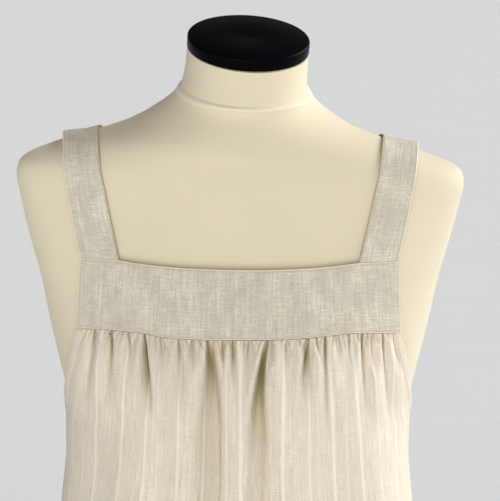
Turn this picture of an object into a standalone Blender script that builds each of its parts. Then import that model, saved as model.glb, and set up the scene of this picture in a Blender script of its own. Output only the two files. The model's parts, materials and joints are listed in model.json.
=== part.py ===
"""A linen pinafore dress, worn by a limbless dress form that stands on a round base.

Metres, +Z up. The front faces -Y, and +X is the viewer's right. The origin is the
centre of the base's underside, on the floor.

The dress is two yokes, two shoulder straps and two gathered skirt panels, each a thin
wall of cloth on rings worked out from the sizes below. The form is a loft.
"""

import math
from collections import namedtuple

import bmesh
import bpy
import numpy as np
from mathutils import Matrix

# Stand
BASE_RADIUS = 0.180
BASE_HEIGHT = 0.014
HUB_RADIUS = 0.028
HUB_HEIGHT = 0.045
POLE_RADIUS = 0.014
COLLAR_RADIUS = 0.040
COLLAR_HEIGHT = 0.016
SEAT_GAP = 0.0003

# Form
FORM_FOOT_Z = 0.700
NECK_TOP_Z = 1.4713
NECK_TILT = 17.0
NECK_ROLL = 3.4
CAP_RADIUS = 0.0575
CAP_HEIGHT = 0.0120
CAP_EDGE = 0.0016
FORM_SIDES = 40

# Cloth
SEAM_GAP = 0.0003
LINEN_WALL = 0.0014
DOUBLE_WALL = 0.0022
STRAP_WALL = 0.0020
CLOTH_CLEARANCE = 0.0010
EASE = 0.008

# Yokes, front and back alike
YOKE_FOOT_Z = 1.2180
YOKE_TOP_Z = 1.2785
YOKE_CORNER_Z = 1.2842
YOKE_FOOT_DIP = 0.0020
YOKE_HALF_FOOT = 0.1499
YOKE_HALF_TOP = 0.1465
NECKLINE_HALF = 0.1100

# Straps
STRAP_PIVOT_Y = 0.0080
STRAP_OUTER_LIFT = 0.0045
STRAP_REST_GAP = 0.0011

# Skirt panels
DIP_FADE = 0.090
FLARE = 0.35
EDGE_POWER = 11
DRIFT_DROP = 0.050
SPREAD_TOP_Z = 1.110
SPREAD_FOOT_Z = 0.800
UNDERARM_Z = 1.1300
HEM_Z = 0.3950
SIDE_SEAM_HALF_GAP = 0.0002

Section = namedtuple("Section", "name z half_width front back square y_centre x_shift tilt roll")

FORM_SECTIONS = [
    Section("foot", FORM_FOOT_Z, 0.1480, 0.0960, 0.1100, 2.20, 0.000, 0.0000, 0, 0),
    Section("low_hip", 0.730, 0.1660, 0.1030, 0.1190, 2.20, 0.000, 0.0000, 0, 0),
    Section("hip", 0.790, 0.1740, 0.1060, 0.1250, 2.20, 0.000, 0.0000, 0, 0),
    Section("high_hip", 0.880, 0.1600, 0.1010, 0.1110, 2.15, 0.000, 0.0000, 0, 0),
    Section("waist", 0.990, 0.1270, 0.0870, 0.0810, 2.10, 0.000, 0.0000, 0, 0),
    Section("ribs", 1.070, 0.1440, 0.0985, 0.0890, 2.15, 0.000, 0.0000, 0, 0),
    Section("under_bust", 1.120, 0.1575, 0.1090, 0.0960, 2.20, 0.000, 0.0000, 0, 0),
    Section("bust", 1.165, 0.1680, 0.1170, 0.1030, 2.25, 0.000, 0.0000, 0, 0),
    Section("above_bust", 1.218, 0.1803, 0.1055, 0.1085, 2.30, 0.000, 0.0000, 0, 0),
    Section("chest", 1.255, 0.1878, 0.0942, 0.1095, 2.35, 0.000, 0.0000, 0, 0),
    Section("armhole", 1.300, 0.1998, 0.0810, 0.1070, 2.40, 0.000, 0.0000, 0, 0),
    Section("arm_stub", 1.331, 0.2072, 0.0735, 0.1000, 2.40, 0.000, 0.0000, 0, 0.3),
    Section("tip", 1.3523, 0.2110, 0.0693, 0.0945, 2.35, 0.000, 0.0000, 0, 0.7),
    Section("tip_round", 1.3622, 0.2086, 0.0670, 0.0910, 2.30, 0.000, 0.0000, 0, 0.8),
    Section("shoulder_end", 1.3690, 0.2005, 0.0655, 0.0885, 2.20, 0.000, 0.0000, 0, 1.0),
    Section("shoulder_out", 1.3768, 0.1815, 0.0640, 0.0860, 2.10, 0.000, 0.0000, 0, 1.2),
    Section("shoulder_mid", 1.3854, 0.1565, 0.0622, 0.0830, 2.05, 0.001, 0.0002, 0, 1.3),
    Section("shoulder_in", 1.3930, 0.1310, 0.0604, 0.0795, 2.00, 0.002, 0.0005, 1, 1.4),
    Section("collar_bone", 1.4015, 0.1065, 0.0590, 0.0745, 2.00, 0.004, 0.0010, 4, 1.6),
    Section("collar_rise", 1.4125, 0.0855, 0.0583, 0.0690, 2.00, 0.006, 0.0018, 7, 1.8),
    Section("neck_root", 1.4240, 0.0695, 0.0583, 0.0635, 2.00, 0.008, 0.0026, 10, 2),
    Section("neck_seam", 1.4330, 0.0620, 0.0590, 0.0605, 2.00, 0.008, 0.0030, 12, 2),
    Section("neck_crease", 1.4385, 0.0590, 0.0578, 0.0585, 2.00, 0.008, 0.0034, 14, 3),
    Section("neck_mid", 1.4530, 0.0573, 0.0568, 0.0568, 2.00, 0.008, 0.0046, 16.5, 4),
    Section("neck_top", NECK_TOP_Z, 0.0570, 0.0560, 0.0560, 2.00, 0.008, 0.0060, NECK_TILT, NECK_ROLL),
]

Ring = namedtuple("Ring", "name z half_width front back square")

GARMENT_RINGS = [
    Ring("hem", HEM_Z, 0.2380, 0.1740, 0.1840, 2.10),
    Ring("knee", 0.560, 0.2190, 0.1630, 0.1730, 2.10),
    Ring("thigh", 0.700, 0.2060, 0.1560, 0.1670, 2.10),
    Ring("hip", 0.810, 0.1960, 0.1500, 0.1610, 2.12),
    Ring("waist", 0.950, 0.1780, 0.1440, 0.1510, 2.20),
    Ring("ribs", 1.050, 0.1680, 0.1425, 0.1430, 2.30),
    Ring("side", 1.093, 0.1642, 0.1425, 0.1390, 2.35),
    Ring("underarm", UNDERARM_Z, 0.1644, 0.1405, 0.1350, 2.35),
    Ring("bust", 1.165, 0.1718, 0.1360, 0.1295, 2.32),
    Ring("gather_puff", 1.196, 0.1792, 0.1245, 0.1235, 2.28),
    Ring("yoke_seam", YOKE_FOOT_Z, 0.1843, 0.1105, 0.1130, 2.30),
    Ring("chest", 1.255, 0.1918, 0.0984, 0.1135, 2.35),
    Ring("armhole", 1.300, 0.2038, 0.0852, 0.1110, 2.40),
]

# The straps' two edges, by how far round the shoulder they are: 0 at the crest, 1 at a yoke.
StrapRow = namedtuple("StrapRow", "turn inner outer")

STRAP_EDGES = [
    StrapRow(0.000, 0.1349, 0.1685),
    StrapRow(0.430, 0.1280, 0.1620),
    StrapRow(0.550, 0.1234, 0.1583),
    StrapRow(0.755, 0.1170, 0.1530),
    StrapRow(1.000, 0.1096, 0.1466),
]

# The armhole's edge on the skirt, by its height: how far it is from the middle.
ArmholeRow = namedtuple("ArmholeRow", "z x")

ARMHOLE_EDGE = [
    ArmholeRow(UNDERARM_Z, 0.1644),
    ArmholeRow(1.1500, 0.1634),
    ArmholeRow(1.1800, 0.1592),
    ArmholeRow(1.1980, 0.1551),
    ArmholeRow(YOKE_FOOT_Z, YOKE_HALF_FOOT),
]

# One row for each fold that falls from a yoke. seam is its place along the seam from the
# centre, drift how far it moves aside besides the flare, depth its deepest, half its half
# width at the seam and low_half where it ends. It begins start below the seam, is deepest
# at peak and ends at reach. All in millimetres.
Fold = namedtuple("Fold", "seam drift depth half low_half start peak reach")
MM = 0.001

FRONT_FOLDS = [
    Fold(-136, -9, 3.5, 4.0, 9.0, 0, 22, 100),
    Fold(-118, -6, 5.5, 2.4, 8.0, 0, 16, 75),
    Fold(-101, -2, 3.5, 2.2, 6.0, 0, 7, 34),
    Fold(-88, 9, 9.0, 2.8, 7.0, 0, 24, 72),
    Fold(-71, 2, 2.5, 3.0, 6.0, 0, 9, 30),
    Fold(-54, 2, 4.0, 2.4, 7.0, 0, 10, 60),
    Fold(-42, 2, 2.5, 3.0, 6.0, 0, 8, 26),
    Fold(-29, 10, 10.5, 3.4, 17.0, 0, 42, 330),
    Fold(-14, 2, 3.5, 2.4, 6.0, 0, 8, 40),
    Fold(-5, 3, 5.0, 2.6, 7.0, 0, 13, 42),
    Fold(10, -7, 2.5, 3.0, 6.0, 0, 9, 28),
    Fold(25, -16, 13.0, 2.6, 6.5, 0, 36, 150),
    Fold(29, -12, 8.0, 9.0, 15.0, 62, 130, 420),
    Fold(44, -3, 2.5, 3.0, 6.0, 0, 9, 30),
    Fold(63, -5, 7.0, 2.8, 7.0, 0, 14, 60),
    Fold(80, 3, 5.0, 2.8, 8.0, 0, 16, 110),
    Fold(92, 3, 2.5, 2.8, 6.0, 0, 8, 26),
    Fold(105, 5, 4.0, 2.4, 6.0, 0, 8, 34),
    Fold(114, 9, 5.5, 2.6, 8.0, 0, 18, 90),
    Fold(126, 6, 4.0, 2.4, 6.0, 0, 14, 50),
    Fold(136, 8, 5.0, 2.6, 8.0, 0, 24, 120),
    Fold(149, 9, 4.0, 2.6, 6.0, 0, 15, 50),
]

BACK_FOLDS = [
    Fold(-147, -8, 4.0, 2.8, 7.0, 0, 16, 60),
    Fold(-132, -6, 4.5, 2.6, 8.0, 0, 22, 110),
    Fold(-117, -3, 3.5, 2.4, 6.0, 0, 9, 38),
    Fold(-99, -6, 8.0, 2.8, 9.0, 0, 26, 140),
    Fold(-82, 2, 3.0, 2.8, 6.0, 0, 9, 32),
    Fold(-66, 5, 6.5, 2.8, 8.0, 0, 22, 90),
    Fold(-50, -2, 3.0, 2.8, 6.0, 0, 9, 32),
    Fold(-34, 8, 11.0, 3.2, 12.0, 0, 40, 360),
    Fold(-15, 0, 3.5, 2.6, 6.0, 0, 11, 45),
    Fold(2, -2, 5.0, 2.6, 7.0, 0, 16, 60),
    Fold(21, 3, 3.0, 2.8, 6.0, 0, 9, 30),
    Fold(40, -9, 10.0, 3.0, 11.0, 0, 34, 300),
    Fold(58, 2, 3.0, 2.8, 6.0, 0, 9, 32),
    Fold(76, 3, 6.0, 2.8, 8.0, 0, 20, 80),
    Fold(91, 6, 4.0, 2.6, 6.0, 0, 12, 46),
    Fold(108, 5, 7.0, 2.8, 9.0, 0, 26, 130),
    Fold(124, 6, 4.0, 2.6, 7.0, 0, 16, 60),
    Fold(138, 8, 4.5, 2.6, 7.0, 0, 20, 70),
    Fold(150, 9, 3.5, 2.8, 6.0, 0, 14, 50),
]

# A fold takes up this much cloth for each unit of its depth.
FOLD_TAKE = 1.60

# Small puckers that the stitched seam leaves between the folds.
PUCKER_PITCH = 0.0105
PUCKER_DEPTH = 0.0008
PUCKER_FADE = 0.016

# Broad flutes of the hanging skirt: they start at FLUTE_TOP_Z and are full at the hem.
FLUTE_TOP_Z = 1.160
FLUTE_DEPTH = 0.0155
FRONT_FLUTES = 5.5
BACK_FLUTES = 4.5

DENSE_COLUMNS = 92
DENSE_HEIGHTS = [YOKE_FOOT_Z - SEAM_GAP, 1.2130, 1.2060, 1.1970, 1.1860, 1.1740, 1.1600, 1.1460]
DENSE_HEIGHTS += [UNDERARM_Z, 1.1000, 1.0600]
COARSE_HEIGHTS = [0.9900, 0.8800, 0.7800, 0.6700, 0.5600, 0.4700, HEM_Z]
YOKE_COLUMNS = 30
YOKE_ROWS = 4
STRAP_ROWS = 32
STRAP_COLUMNS = 4


def clear_scene():
    for obj in list(bpy.data.objects):
        bpy.data.objects.remove(obj, do_unlink=True)


def material(name, colour, roughness, metallic=0.0):
    made = bpy.data.materials.new(name)
    made.use_nodes = True
    shader = made.node_tree.nodes["Principled BSDF"]
    shader.inputs["Base Color"].default_value = (*colour, 1.0)
    shader.inputs["Roughness"].default_value = roughness
    shader.inputs["Metallic"].default_value = metallic
    return made


def smooth_columns(heights, values, at):
    """Monotone cubic interpolation of each column of values, given at the heights."""
    heights = np.asarray(heights, float)
    values = np.asarray(values, float)
    step = np.diff(heights)
    slope = np.diff(values, axis=0) / step[:, None]
    tangent = np.zeros_like(values)
    tangent[0], tangent[-1] = slope[0], slope[-1]
    before, after = slope[:-1], slope[1:]
    same_way = before * after > 0
    total = before + after
    safe_total = np.where(same_way, total, 1.0)
    tangent[1:-1] = np.where(same_way, 2 * before * after / safe_total, 0.0)
    at = np.clip(np.atleast_1d(np.asarray(at, float)), heights[0], heights[-1])
    cell = np.clip(np.searchsorted(heights, at, side="right") - 1, 0, len(step) - 1)
    width = step[cell][:, None]
    t = ((at - heights[cell])[:, None]) / width
    start, end = values[cell], values[cell + 1]
    return (
        (2 * t**3 - 3 * t**2 + 1) * start
        + (t**3 - 2 * t**2 + t) * width * tangent[cell]
        + (3 * t**2 - 2 * t**3) * end
        + (t**3 - t**2) * width * tangent[cell + 1]
    )


FORM_Z = [section.z for section in FORM_SECTIONS]
FORM_VALUES = [section[2:] for section in FORM_SECTIONS]
GARMENT_Z = [ring.z for ring in GARMENT_RINGS]
GARMENT_VALUES = [ring[2:] for ring in GARMENT_RINGS]


def form_at(z):
    """The form's section at each height, one row each, in the order of Section after z."""
    return smooth_columns(FORM_Z, FORM_VALUES, z)


def garment_at(z):
    """The cloth's mean ring at each height, one row each, in the order of Ring after z."""
    return smooth_columns(GARMENT_Z, GARMENT_VALUES, z)


def rounded(angle, square):
    """The unit superellipse: sideways from the front's middle, and forward."""
    sine, cosine = np.sin(angle), np.cos(angle)
    power = 2.0 / square
    return np.sign(sine) * np.abs(sine) ** power, np.sign(cosine) * np.abs(cosine) ** power


def pushed_clear(points, gap):
    """Moves points of the cloth that are inside the form, or nearly, out to gap from it."""
    half_width, front, back, square, y_centre, x_shift = form_at(points[:, 2])[:, :6].T
    across = points[:, 0] - x_shift
    along = points[:, 1] - y_centre
    depth = np.where(along < 0, front, back) + gap
    width = half_width + gap
    share = (np.abs(across / width) ** square + np.abs(along / depth) ** square) ** (1 / square)
    share = np.maximum(share, 0.5)
    grow = (1.0 + EASE * np.logaddexp(0.0, (share - 1.0) / EASE)) / share
    moved = points.copy()
    moved[:, 0] = x_shift + across * grow
    moved[:, 1] = y_centre + along * grow
    return moved


class Side:
    """The front or the back of the garment: its half ring at a height, measured by arc."""

    SAMPLES = 241

    def __init__(self, faces, folds, flutes, flute_turn):
        self.faces = faces
        self.folds = folds
        self.flutes = flutes
        self.flute_turn = flute_turn

    def half_ring(self, z):
        """(arc, points, outward) along the half ring at height z, from its left side to its right."""
        half_width, front, back, square = garment_at(z)[0]
        depth = front if self.faces < 0 else back
        angle = np.linspace(-math.pi / 2, math.pi / 2, self.SAMPLES)
        across, forward = rounded(angle, square)
        points = np.stack([half_width * across, self.faces * depth * forward], axis=1)
        step = np.linalg.norm(np.diff(points, axis=0), axis=1)
        arc = np.concatenate([[0.0], np.cumsum(step)])
        arc -= arc[-1] / 2
        tangent = np.gradient(points, arc, axis=0)
        outward = np.stack([tangent[:, 1], -tangent[:, 0]], axis=1) * -self.faces
        outward /= np.linalg.norm(outward, axis=1)[:, None]
        return arc, points, outward

    def on_ring(self, z, arcs):
        """Points on the mean ring at height z and their outward directions, for these arcs."""
        arc, points, outward = self.half_ring(z)
        place = np.stack([np.interp(arcs, arc, points[:, i]) for i in (0, 1)], axis=1)
        out = np.stack([np.interp(arcs, arc, outward[:, i]) for i in (0, 1)], axis=1)
        return place, out / np.linalg.norm(out, axis=1)[:, None]

    def arc_of(self, z, x):
        """The arc on the ring at height z at which the ring is x to the right."""
        arc, points, _ = self.half_ring(z)
        return float(np.interp(x, points[:, 0], arc))

    def arcs_at(self, z, seams):
        """Where the cloth that starts at these places along the seam lies on the ring at height z.

        Near the seam it follows the folds, and the armhole's slant is taken up at the edges.
        Further down it spreads evenly towards the hem.
        """
        half_seam = self.half_arc(YOKE_FOOT_Z)
        half_here = self.half_arc(z)
        drop = max(YOKE_FOOT_Z - z, 0.0)
        share = seams / half_seam
        places = [-half_seam] + [fold.seam * MM for fold in self.folds] + [half_seam]
        drifts = [0.0] + [fold.drift * MM for fold in self.folds] + [0.0]
        drift = smooth_columns(places, np.array(drifts)[:, None], seams)[:, 0]
        close = seams + drift * (1.0 - math.exp(-drop / DRIFT_DROP)) + FLARE * seams * drop
        reach = half_here - half_seam - FLARE * half_seam * drop
        close += reach * share * np.abs(share) ** (EDGE_POWER - 1)
        even = min(max((SPREAD_TOP_Z - z) / (SPREAD_TOP_Z - SPREAD_FOOT_Z), 0.0), 1.0)
        even = even * even * (3 - 2 * even)
        return close + (share * half_here - close) * even

    def cloth_at(self, seams):
        """How much cloth lies between the centre and these places along the gathered seam."""
        cloth = seams.copy()
        for fold in self.folds:
            take = FOLD_TAKE * fold.depth * MM
            reach = 1.3 * fold.half * MM
            middle = fold.seam * MM
            cloth += take / 2 * (np.tanh((seams - middle) / reach) + math.tanh(middle / reach))
        return cloth

    def seams_evenly(self, columns):
        """Places along the seam that share out its cloth, its length and the underarm's arc."""
        fine = np.linspace(-1.0, 1.0, 2001) * self.half_arc(YOKE_FOOT_Z)
        underarm = self.arcs_at(UNDERARM_Z, fine)
        places = np.zeros(columns + 1)
        for measure, weight in ((self.cloth_at(fine), 0.45), (fine, 0.20), (underarm, 0.35)):
            evenly = np.linspace(measure[0], measure[-1], columns + 1)
            places += weight * np.interp(evenly, measure, fine)
        return places

    def half_arc(self, z):
        """How far the panel reaches from its middle at height z: to the armhole, then to the side seam."""
        side = self.half_ring(z)[0][-1] - SIDE_SEAM_HALF_GAP
        if z <= UNDERARM_Z:
            return side
        edge = smooth_columns([row.z for row in ARMHOLE_EDGE], [[row.x] for row in ARMHOLE_EDGE], z)
        return min(side, self.arc_of(z, float(edge[0, 0])))

    def relief(self, z, seams):
        """How far the cloth stands out of its mean ring at height z: folds, puckers and flutes."""
        drop = YOKE_FOOT_Z - z
        height = np.zeros_like(seams)
        for fold in self.folds:
            down = drop / MM
            rise = min(max((down - fold.start) / (fold.peak - fold.start), 0.0), 1.0)
            rise = math.sin(rise * math.pi / 2) ** 0.8
            past = min(max((down - fold.peak) / (fold.reach - fold.peak), 0.0), 1.0)
            fade = math.cos(past * math.pi / 2) ** 1.6
            spread = min(max((down - fold.start) / (fold.reach - fold.start), 0.0), 1.0) ** 0.7
            half = (fold.half + (fold.low_half - fold.half) * spread) * MM
            offset = (seams - fold.seam * MM) / half
            trough = np.exp(-offset**2)
            crests = np.exp(-((offset / 1.3 - 1.5) ** 2)) + np.exp(-((offset / 1.3 + 1.5) ** 2))
            height += fold.depth * MM * rise * fade * (0.28 * crests - trough)
        seam_share = min(max(drop, 0.0) / 0.004, 1.0)
        pucker = PUCKER_DEPTH * seam_share * math.exp(-drop / PUCKER_FADE)
        height += pucker * np.cos(2 * math.pi * seams / PUCKER_PITCH)
        flute_share = min(max((FLUTE_TOP_Z - z) / (FLUTE_TOP_Z - HEM_Z), 0.0), 1.0)
        share = seams / self.half_arc(YOKE_FOOT_Z)
        turn = math.pi * self.flutes * (share + 0.07 * np.sin(3.1 * share + self.flute_turn))
        height += FLUTE_DEPTH * flute_share**0.8 * np.sin(turn + self.flute_turn)
        inside = np.clip((1.0 - np.abs(share)) / 0.10, 0.0, 1.0)
        return height * inside * inside * (3 - 2 * inside)


def dip(x, z):
    """How far a seam sags in its middle: YOKE_FOOT_DIP at a yoke's foot, less above and below."""
    middle = np.clip(1.0 - (x / YOKE_HALF_FOOT) ** 2, 0.0, 1.0)
    reach = np.where(z > YOKE_FOOT_Z, YOKE_TOP_Z - YOKE_FOOT_Z, DIP_FADE)
    return YOKE_FOOT_DIP * middle * np.clip(1.0 - np.abs(z - YOKE_FOOT_Z) / reach, 0.0, 1.0)


def wall_of(side, z, arcs, relief, wall):
    """The outer and inner points of one row of cloth at height z, clear of the form."""
    place, out = side.on_ring(z, arcs)
    level = z - dip(place[:, 0], z)
    inner = np.column_stack([place + out * (relief - wall)[:, None], level])
    clear = pushed_clear(inner, CLOTH_CLEARANCE)
    outer = clear + np.column_stack([out * wall, np.zeros(len(arcs))])
    return outer, clear


def mesh_object(name, vertices, faces, finish, smooth_angle=40):
    mesh = bpy.data.meshes.new(name)
    mesh.from_pydata([tuple(v) for v in vertices], [], faces)
    shape = bmesh.new()
    shape.from_mesh(mesh)
    bmesh.ops.recalc_face_normals(shape, faces=shape.faces[:])
    shape.to_mesh(mesh)
    shape.free()
    mesh.shade_smooth()
    mesh.set_sharp_from_angle(angle=math.radians(smooth_angle))
    mesh.materials.append(finish)
    made = bpy.data.objects.new(name, mesh)
    bpy.context.scene.collection.objects.link(made)
    return made


def band_faces(upper, lower):
    """Faces between two rows of vertex numbers: as many in each, or half as many below."""
    faces = []
    if len(upper) == len(lower):
        for i in range(len(upper) - 1):
            faces.append((upper[i], upper[i + 1], lower[i + 1], lower[i]))
        return faces
    for i in range(len(lower) - 1):
        left, middle, right = upper[2 * i], upper[2 * i + 1], upper[2 * i + 2]
        faces.append((left, middle, lower[i]))
        faces.append((middle, lower[i + 1], lower[i]))
        faces.append((middle, right, lower[i + 1]))
    return faces


def cloth_wall(name, outer_rows, inner_rows, finish):
    """A closed wall of cloth between two sets of rows, which run from the top down."""
    vertices, numbers = [], []
    for rows in (outer_rows, inner_rows):
        numbered = []
        for row in rows:
            numbered.append(list(range(len(vertices), len(vertices) + len(row))))
            vertices.extend(row)
        numbers.append(numbered)
    outer, inner = numbers
    faces = []
    for rows, flip in ((outer, False), (inner, True)):
        for upper, lower in zip(rows[:-1], rows[1:]):
            for face in band_faces(upper, lower):
                faces.append(face[::-1] if flip else face)
    for row_out, row_in, flip in ((outer[0], inner[0], True), (outer[-1], inner[-1], False)):
        for i in range(len(row_out) - 1):
            face = (row_out[i], row_out[i + 1], row_in[i + 1], row_in[i])
            faces.append(face[::-1] if flip else face)
    for column, flip in ((0, False), (-1, True)):
        for k in range(len(outer) - 1):
            face = (outer[k][column], outer[k + 1][column], inner[k + 1][column], inner[k][column])
            faces.append(face[::-1] if flip else face)
    return mesh_object(name, vertices, faces, finish)


def skirt_panel(name, side, finish):
    """A gathered panel from the yoke's seam to the hem, armholes cut from its upper corners."""
    outer_rows, inner_rows = [], []
    heights = [(z, DENSE_COLUMNS) for z in DENSE_HEIGHTS]
    heights += [(z, DENSE_COLUMNS // 2) for z in COARSE_HEIGHTS]
    for z, columns in heights:
        seams = side.seams_evenly(DENSE_COLUMNS)[:: DENSE_COLUMNS // columns]
        outer, inner = wall_of(side, z, side.arcs_at(z, seams), side.relief(z, seams), LINEN_WALL)
        outer_rows.append(outer)
        inner_rows.append(inner)
    return cloth_wall(name, outer_rows, inner_rows, finish)


def yoke_top(x):
    """The height of a yoke's upper edge: a shallow scoop between the straps, level under them."""
    share = np.clip(np.abs(x) / NECKLINE_HALF, 0.0, 1.0)
    return YOKE_TOP_Z + (YOKE_CORNER_Z - YOKE_TOP_Z) * share**2.4


def yoke(name, side, finish):
    """A doubled band across the chest or the back, on the same rings as the skirt."""
    outer_rows, inner_rows = [], []
    across = np.linspace(-1.0, 1.0, YOKE_COLUMNS + 1)
    for row in range(YOKE_ROWS + 1):
        share = 1.0 - row / YOKE_ROWS
        half = YOKE_HALF_FOOT + (YOKE_HALF_TOP - YOKE_HALF_FOOT) * share
        outer, inner = [], []
        for x in across * half:
            z = YOKE_FOOT_Z + (yoke_top(x) - YOKE_FOOT_Z) * share
            arcs = np.array([side.arc_of(z, x)])
            flat = np.zeros(1)
            outside, inside = wall_of(side, float(z), arcs, flat, DOUBLE_WALL)
            outer.append(outside[0])
            inner.append(inside[0])
        outer_rows.append(np.array(outer))
        inner_rows.append(np.array(inner))
    return cloth_wall(name, outer_rows, inner_rows, finish)


def section_through(x, y, z):
    """The height of the form's section that passes through this point, as it was before it tilted."""
    height = z
    for _ in range(4):
        y_centre, x_shift, tilt, roll = form_at(height)[0][4:]
        forward = (y - y_centre) * math.tan(math.radians(tilt))
        sideways = (x - x_shift) * math.tan(math.radians(roll))
        height = z - forward + sideways
    return height


def form_radius(x, angle, pivot_y, pivot_z):
    """How far the form's surface is from the pivot line in this direction, in the plane at x."""
    low, high = 0.0, 0.25
    for _ in range(26):
        middle = (low + high) / 2
        y = pivot_y - middle * math.sin(angle)
        z = section_through(x, y, pivot_z + middle * math.cos(angle))
        half_width, front, back, square, y_centre, x_shift = form_at(z)[0][:6]
        depth = front if y < y_centre else back
        share = abs((x - x_shift) / half_width) ** square + abs((y - y_centre) / depth) ** square
        if share < 1.0 and z < NECK_TOP_Z:
            low = middle
        else:
            high = middle
    return high


def strap(name, hand, finish):
    """A doubled strap from yoke to yoke over one shoulder. hand is -1 on the viewer's left."""
    pivot_z = YOKE_CORNER_Z + SEAM_GAP
    turns = [row.turn for row in STRAP_EDGES]
    edges = [row[1:] for row in STRAP_EDGES]
    outer_rows, inner_rows = [], []
    for row in range(STRAP_ROWS + 1):
        angle = math.pi / 2 - math.pi * row / STRAP_ROWS
        lean = abs(angle) / (math.pi / 2)
        near, far = smooth_columns(turns, edges, lean)[0]
        outer, inner = [], []
        for column in range(STRAP_COLUMNS + 1):
            across = column / STRAP_COLUMNS
            x = near + (far - near) * across
            radius = form_radius(hand * x, angle, STRAP_PIVOT_Y, pivot_z)
            lift = STRAP_OUTER_LIFT * max(0.0, 1.6 * across - 0.6) * (1 - lean**2)
            gap = STRAP_REST_GAP + 0.0012 * lean**2 + lift
            for points, reach in ((inner, radius + gap), (outer, radius + gap + STRAP_WALL)):
                y = STRAP_PIVOT_Y - reach * math.sin(angle)
                z = pivot_z + reach * math.cos(angle)
                points.append((hand * x, y, z))
        outer_rows.append(outer)
        inner_rows.append(inner)
    return cloth_wall(name, outer_rows, inner_rows, finish)


def form_heights():
    """Each section's height, with one more between sections that lie over 12 mm apart."""
    heights = []
    for low, high in zip(FORM_Z[:-1], FORM_Z[1:]):
        parts = max(1, min(3, round((high - low) / 0.028)))
        heights.extend(low + (high - low) * i / parts for i in range(parts))
    return heights + [FORM_Z[-1]]


def form_body(finish):
    """The torso: a loft through its sections, closed by a flat foot and a flat, tilted neck top."""
    angle = np.linspace(0, 2 * math.pi, FORM_SIDES, endpoint=False)
    vertices, faces = [], []
    heights = form_heights()
    for z in heights:
        half_width, front, back, square, y_centre, x_shift, tilt, roll = form_at(z)[0]
        across, forward = rounded(angle, square)
        x = half_width * across
        y = -np.where(forward > 0, front, back) * forward
        level = z + y * math.tan(math.radians(tilt)) - x * math.tan(math.radians(roll))
        vertices.extend(zip(x + x_shift, y + y_centre, level))
    for ring in range(len(heights) - 1):
        for i in range(FORM_SIDES):
            j = (i + 1) % FORM_SIDES
            low, high = ring * FORM_SIDES, (ring + 1) * FORM_SIDES
            faces.append((low + i, low + j, high + j, high + i))
    faces.append(tuple(range(FORM_SIDES)))
    faces.append(tuple(range(len(vertices) - FORM_SIDES, len(vertices))))
    return mesh_object("form_body", vertices, faces, finish, smooth_angle=50)


def turned(name, profile, sides, finish, place=None):
    """A solid of revolution about Z, from (radius, height) points that start and end on the axis."""
    vertices = [(0, 0, profile[0][1])]
    rings = profile[1:-1]
    for radius, height in rings:
        for i in range(sides):
            angle = 2 * math.pi * i / sides
            vertices.append((radius * math.cos(angle), radius * math.sin(angle), height))
    vertices.append((0, 0, profile[-1][1]))
    faces = []
    for i in range(sides):
        j = (i + 1) % sides
        faces.append((0, 1 + j, 1 + i))
        for ring in range(len(rings) - 1):
            low, high = 1 + ring * sides, 1 + (ring + 1) * sides
            faces.append((low + i, low + j, high + j, high + i))
        last = 1 + (len(rings) - 1) * sides
        faces.append((last + i, last + j, len(vertices) - 1))
    made = mesh_object(name, vertices, faces, finish)
    if place is not None:
        made.matrix_world = place
    return made


def neck_cap(finish):
    """The lacquered disc that closes the neck, seated square on its tilted top."""
    tilt = Matrix.Rotation(math.radians(NECK_TILT), 4, "X")
    roll = Matrix.Rotation(math.radians(NECK_ROLL), 4, "Y")
    top = FORM_SECTIONS[-1]
    place = Matrix.Translation((top.x_shift, top.y_centre, NECK_TOP_Z + SEAT_GAP * 1.1)) @ roll @ tilt
    profile = [
        (0.0, 0.0),
        (CAP_RADIUS - CAP_EDGE, 0.0),
        (CAP_RADIUS, CAP_EDGE),
        (CAP_RADIUS, CAP_HEIGHT - CAP_EDGE),
        (CAP_RADIUS - 0.3 * CAP_EDGE, CAP_HEIGHT - 0.3 * CAP_EDGE),
        (CAP_RADIUS - CAP_EDGE, CAP_HEIGHT),
        (0.0, CAP_HEIGHT),
    ]
    return turned("neck_cap", profile, 48, finish, place)


def stand(steel, paint):
    """The weighted base, its hub, the pole in it, and the collar that carries the form."""
    base_profile = [
        (0.0, 0.0),
        (BASE_RADIUS, 0.0),
        (BASE_RADIUS, BASE_HEIGHT * 0.55),
        (BASE_RADIUS - 0.006, BASE_HEIGHT),
        (0.0, BASE_HEIGHT),
    ]
    turned("stand_base", base_profile, 48, paint)
    hub_foot = BASE_HEIGHT + SEAT_GAP
    hub_profile = [
        (0.0, hub_foot),
        (HUB_RADIUS + 0.006, hub_foot),
        (HUB_RADIUS + 0.005, hub_foot + 0.006),
        (HUB_RADIUS, HUB_HEIGHT - 0.003),
        (HUB_RADIUS - 0.003, HUB_HEIGHT),
        (0.0, HUB_HEIGHT),
    ]
    turned("stand_hub", hub_profile, 32, paint)
    collar_foot = FORM_FOOT_Z - SEAT_GAP - COLLAR_HEIGHT
    pole_profile = [
        (0.0, HUB_HEIGHT + SEAT_GAP),
        (POLE_RADIUS, HUB_HEIGHT + SEAT_GAP),
        (POLE_RADIUS, collar_foot - SEAT_GAP),
        (0.0, collar_foot - SEAT_GAP),
    ]
    turned("stand_pole", pole_profile, 24, steel)
    collar_profile = [
        (0.0, collar_foot),
        (POLE_RADIUS + 0.006, collar_foot),
        (COLLAR_RADIUS, collar_foot + COLLAR_HEIGHT * 0.6),
        (COLLAR_RADIUS, collar_foot + COLLAR_HEIGHT),
        (0.0, collar_foot + COLLAR_HEIGHT),
    ]
    turned("stand_collar", collar_profile, 32, paint)


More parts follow.
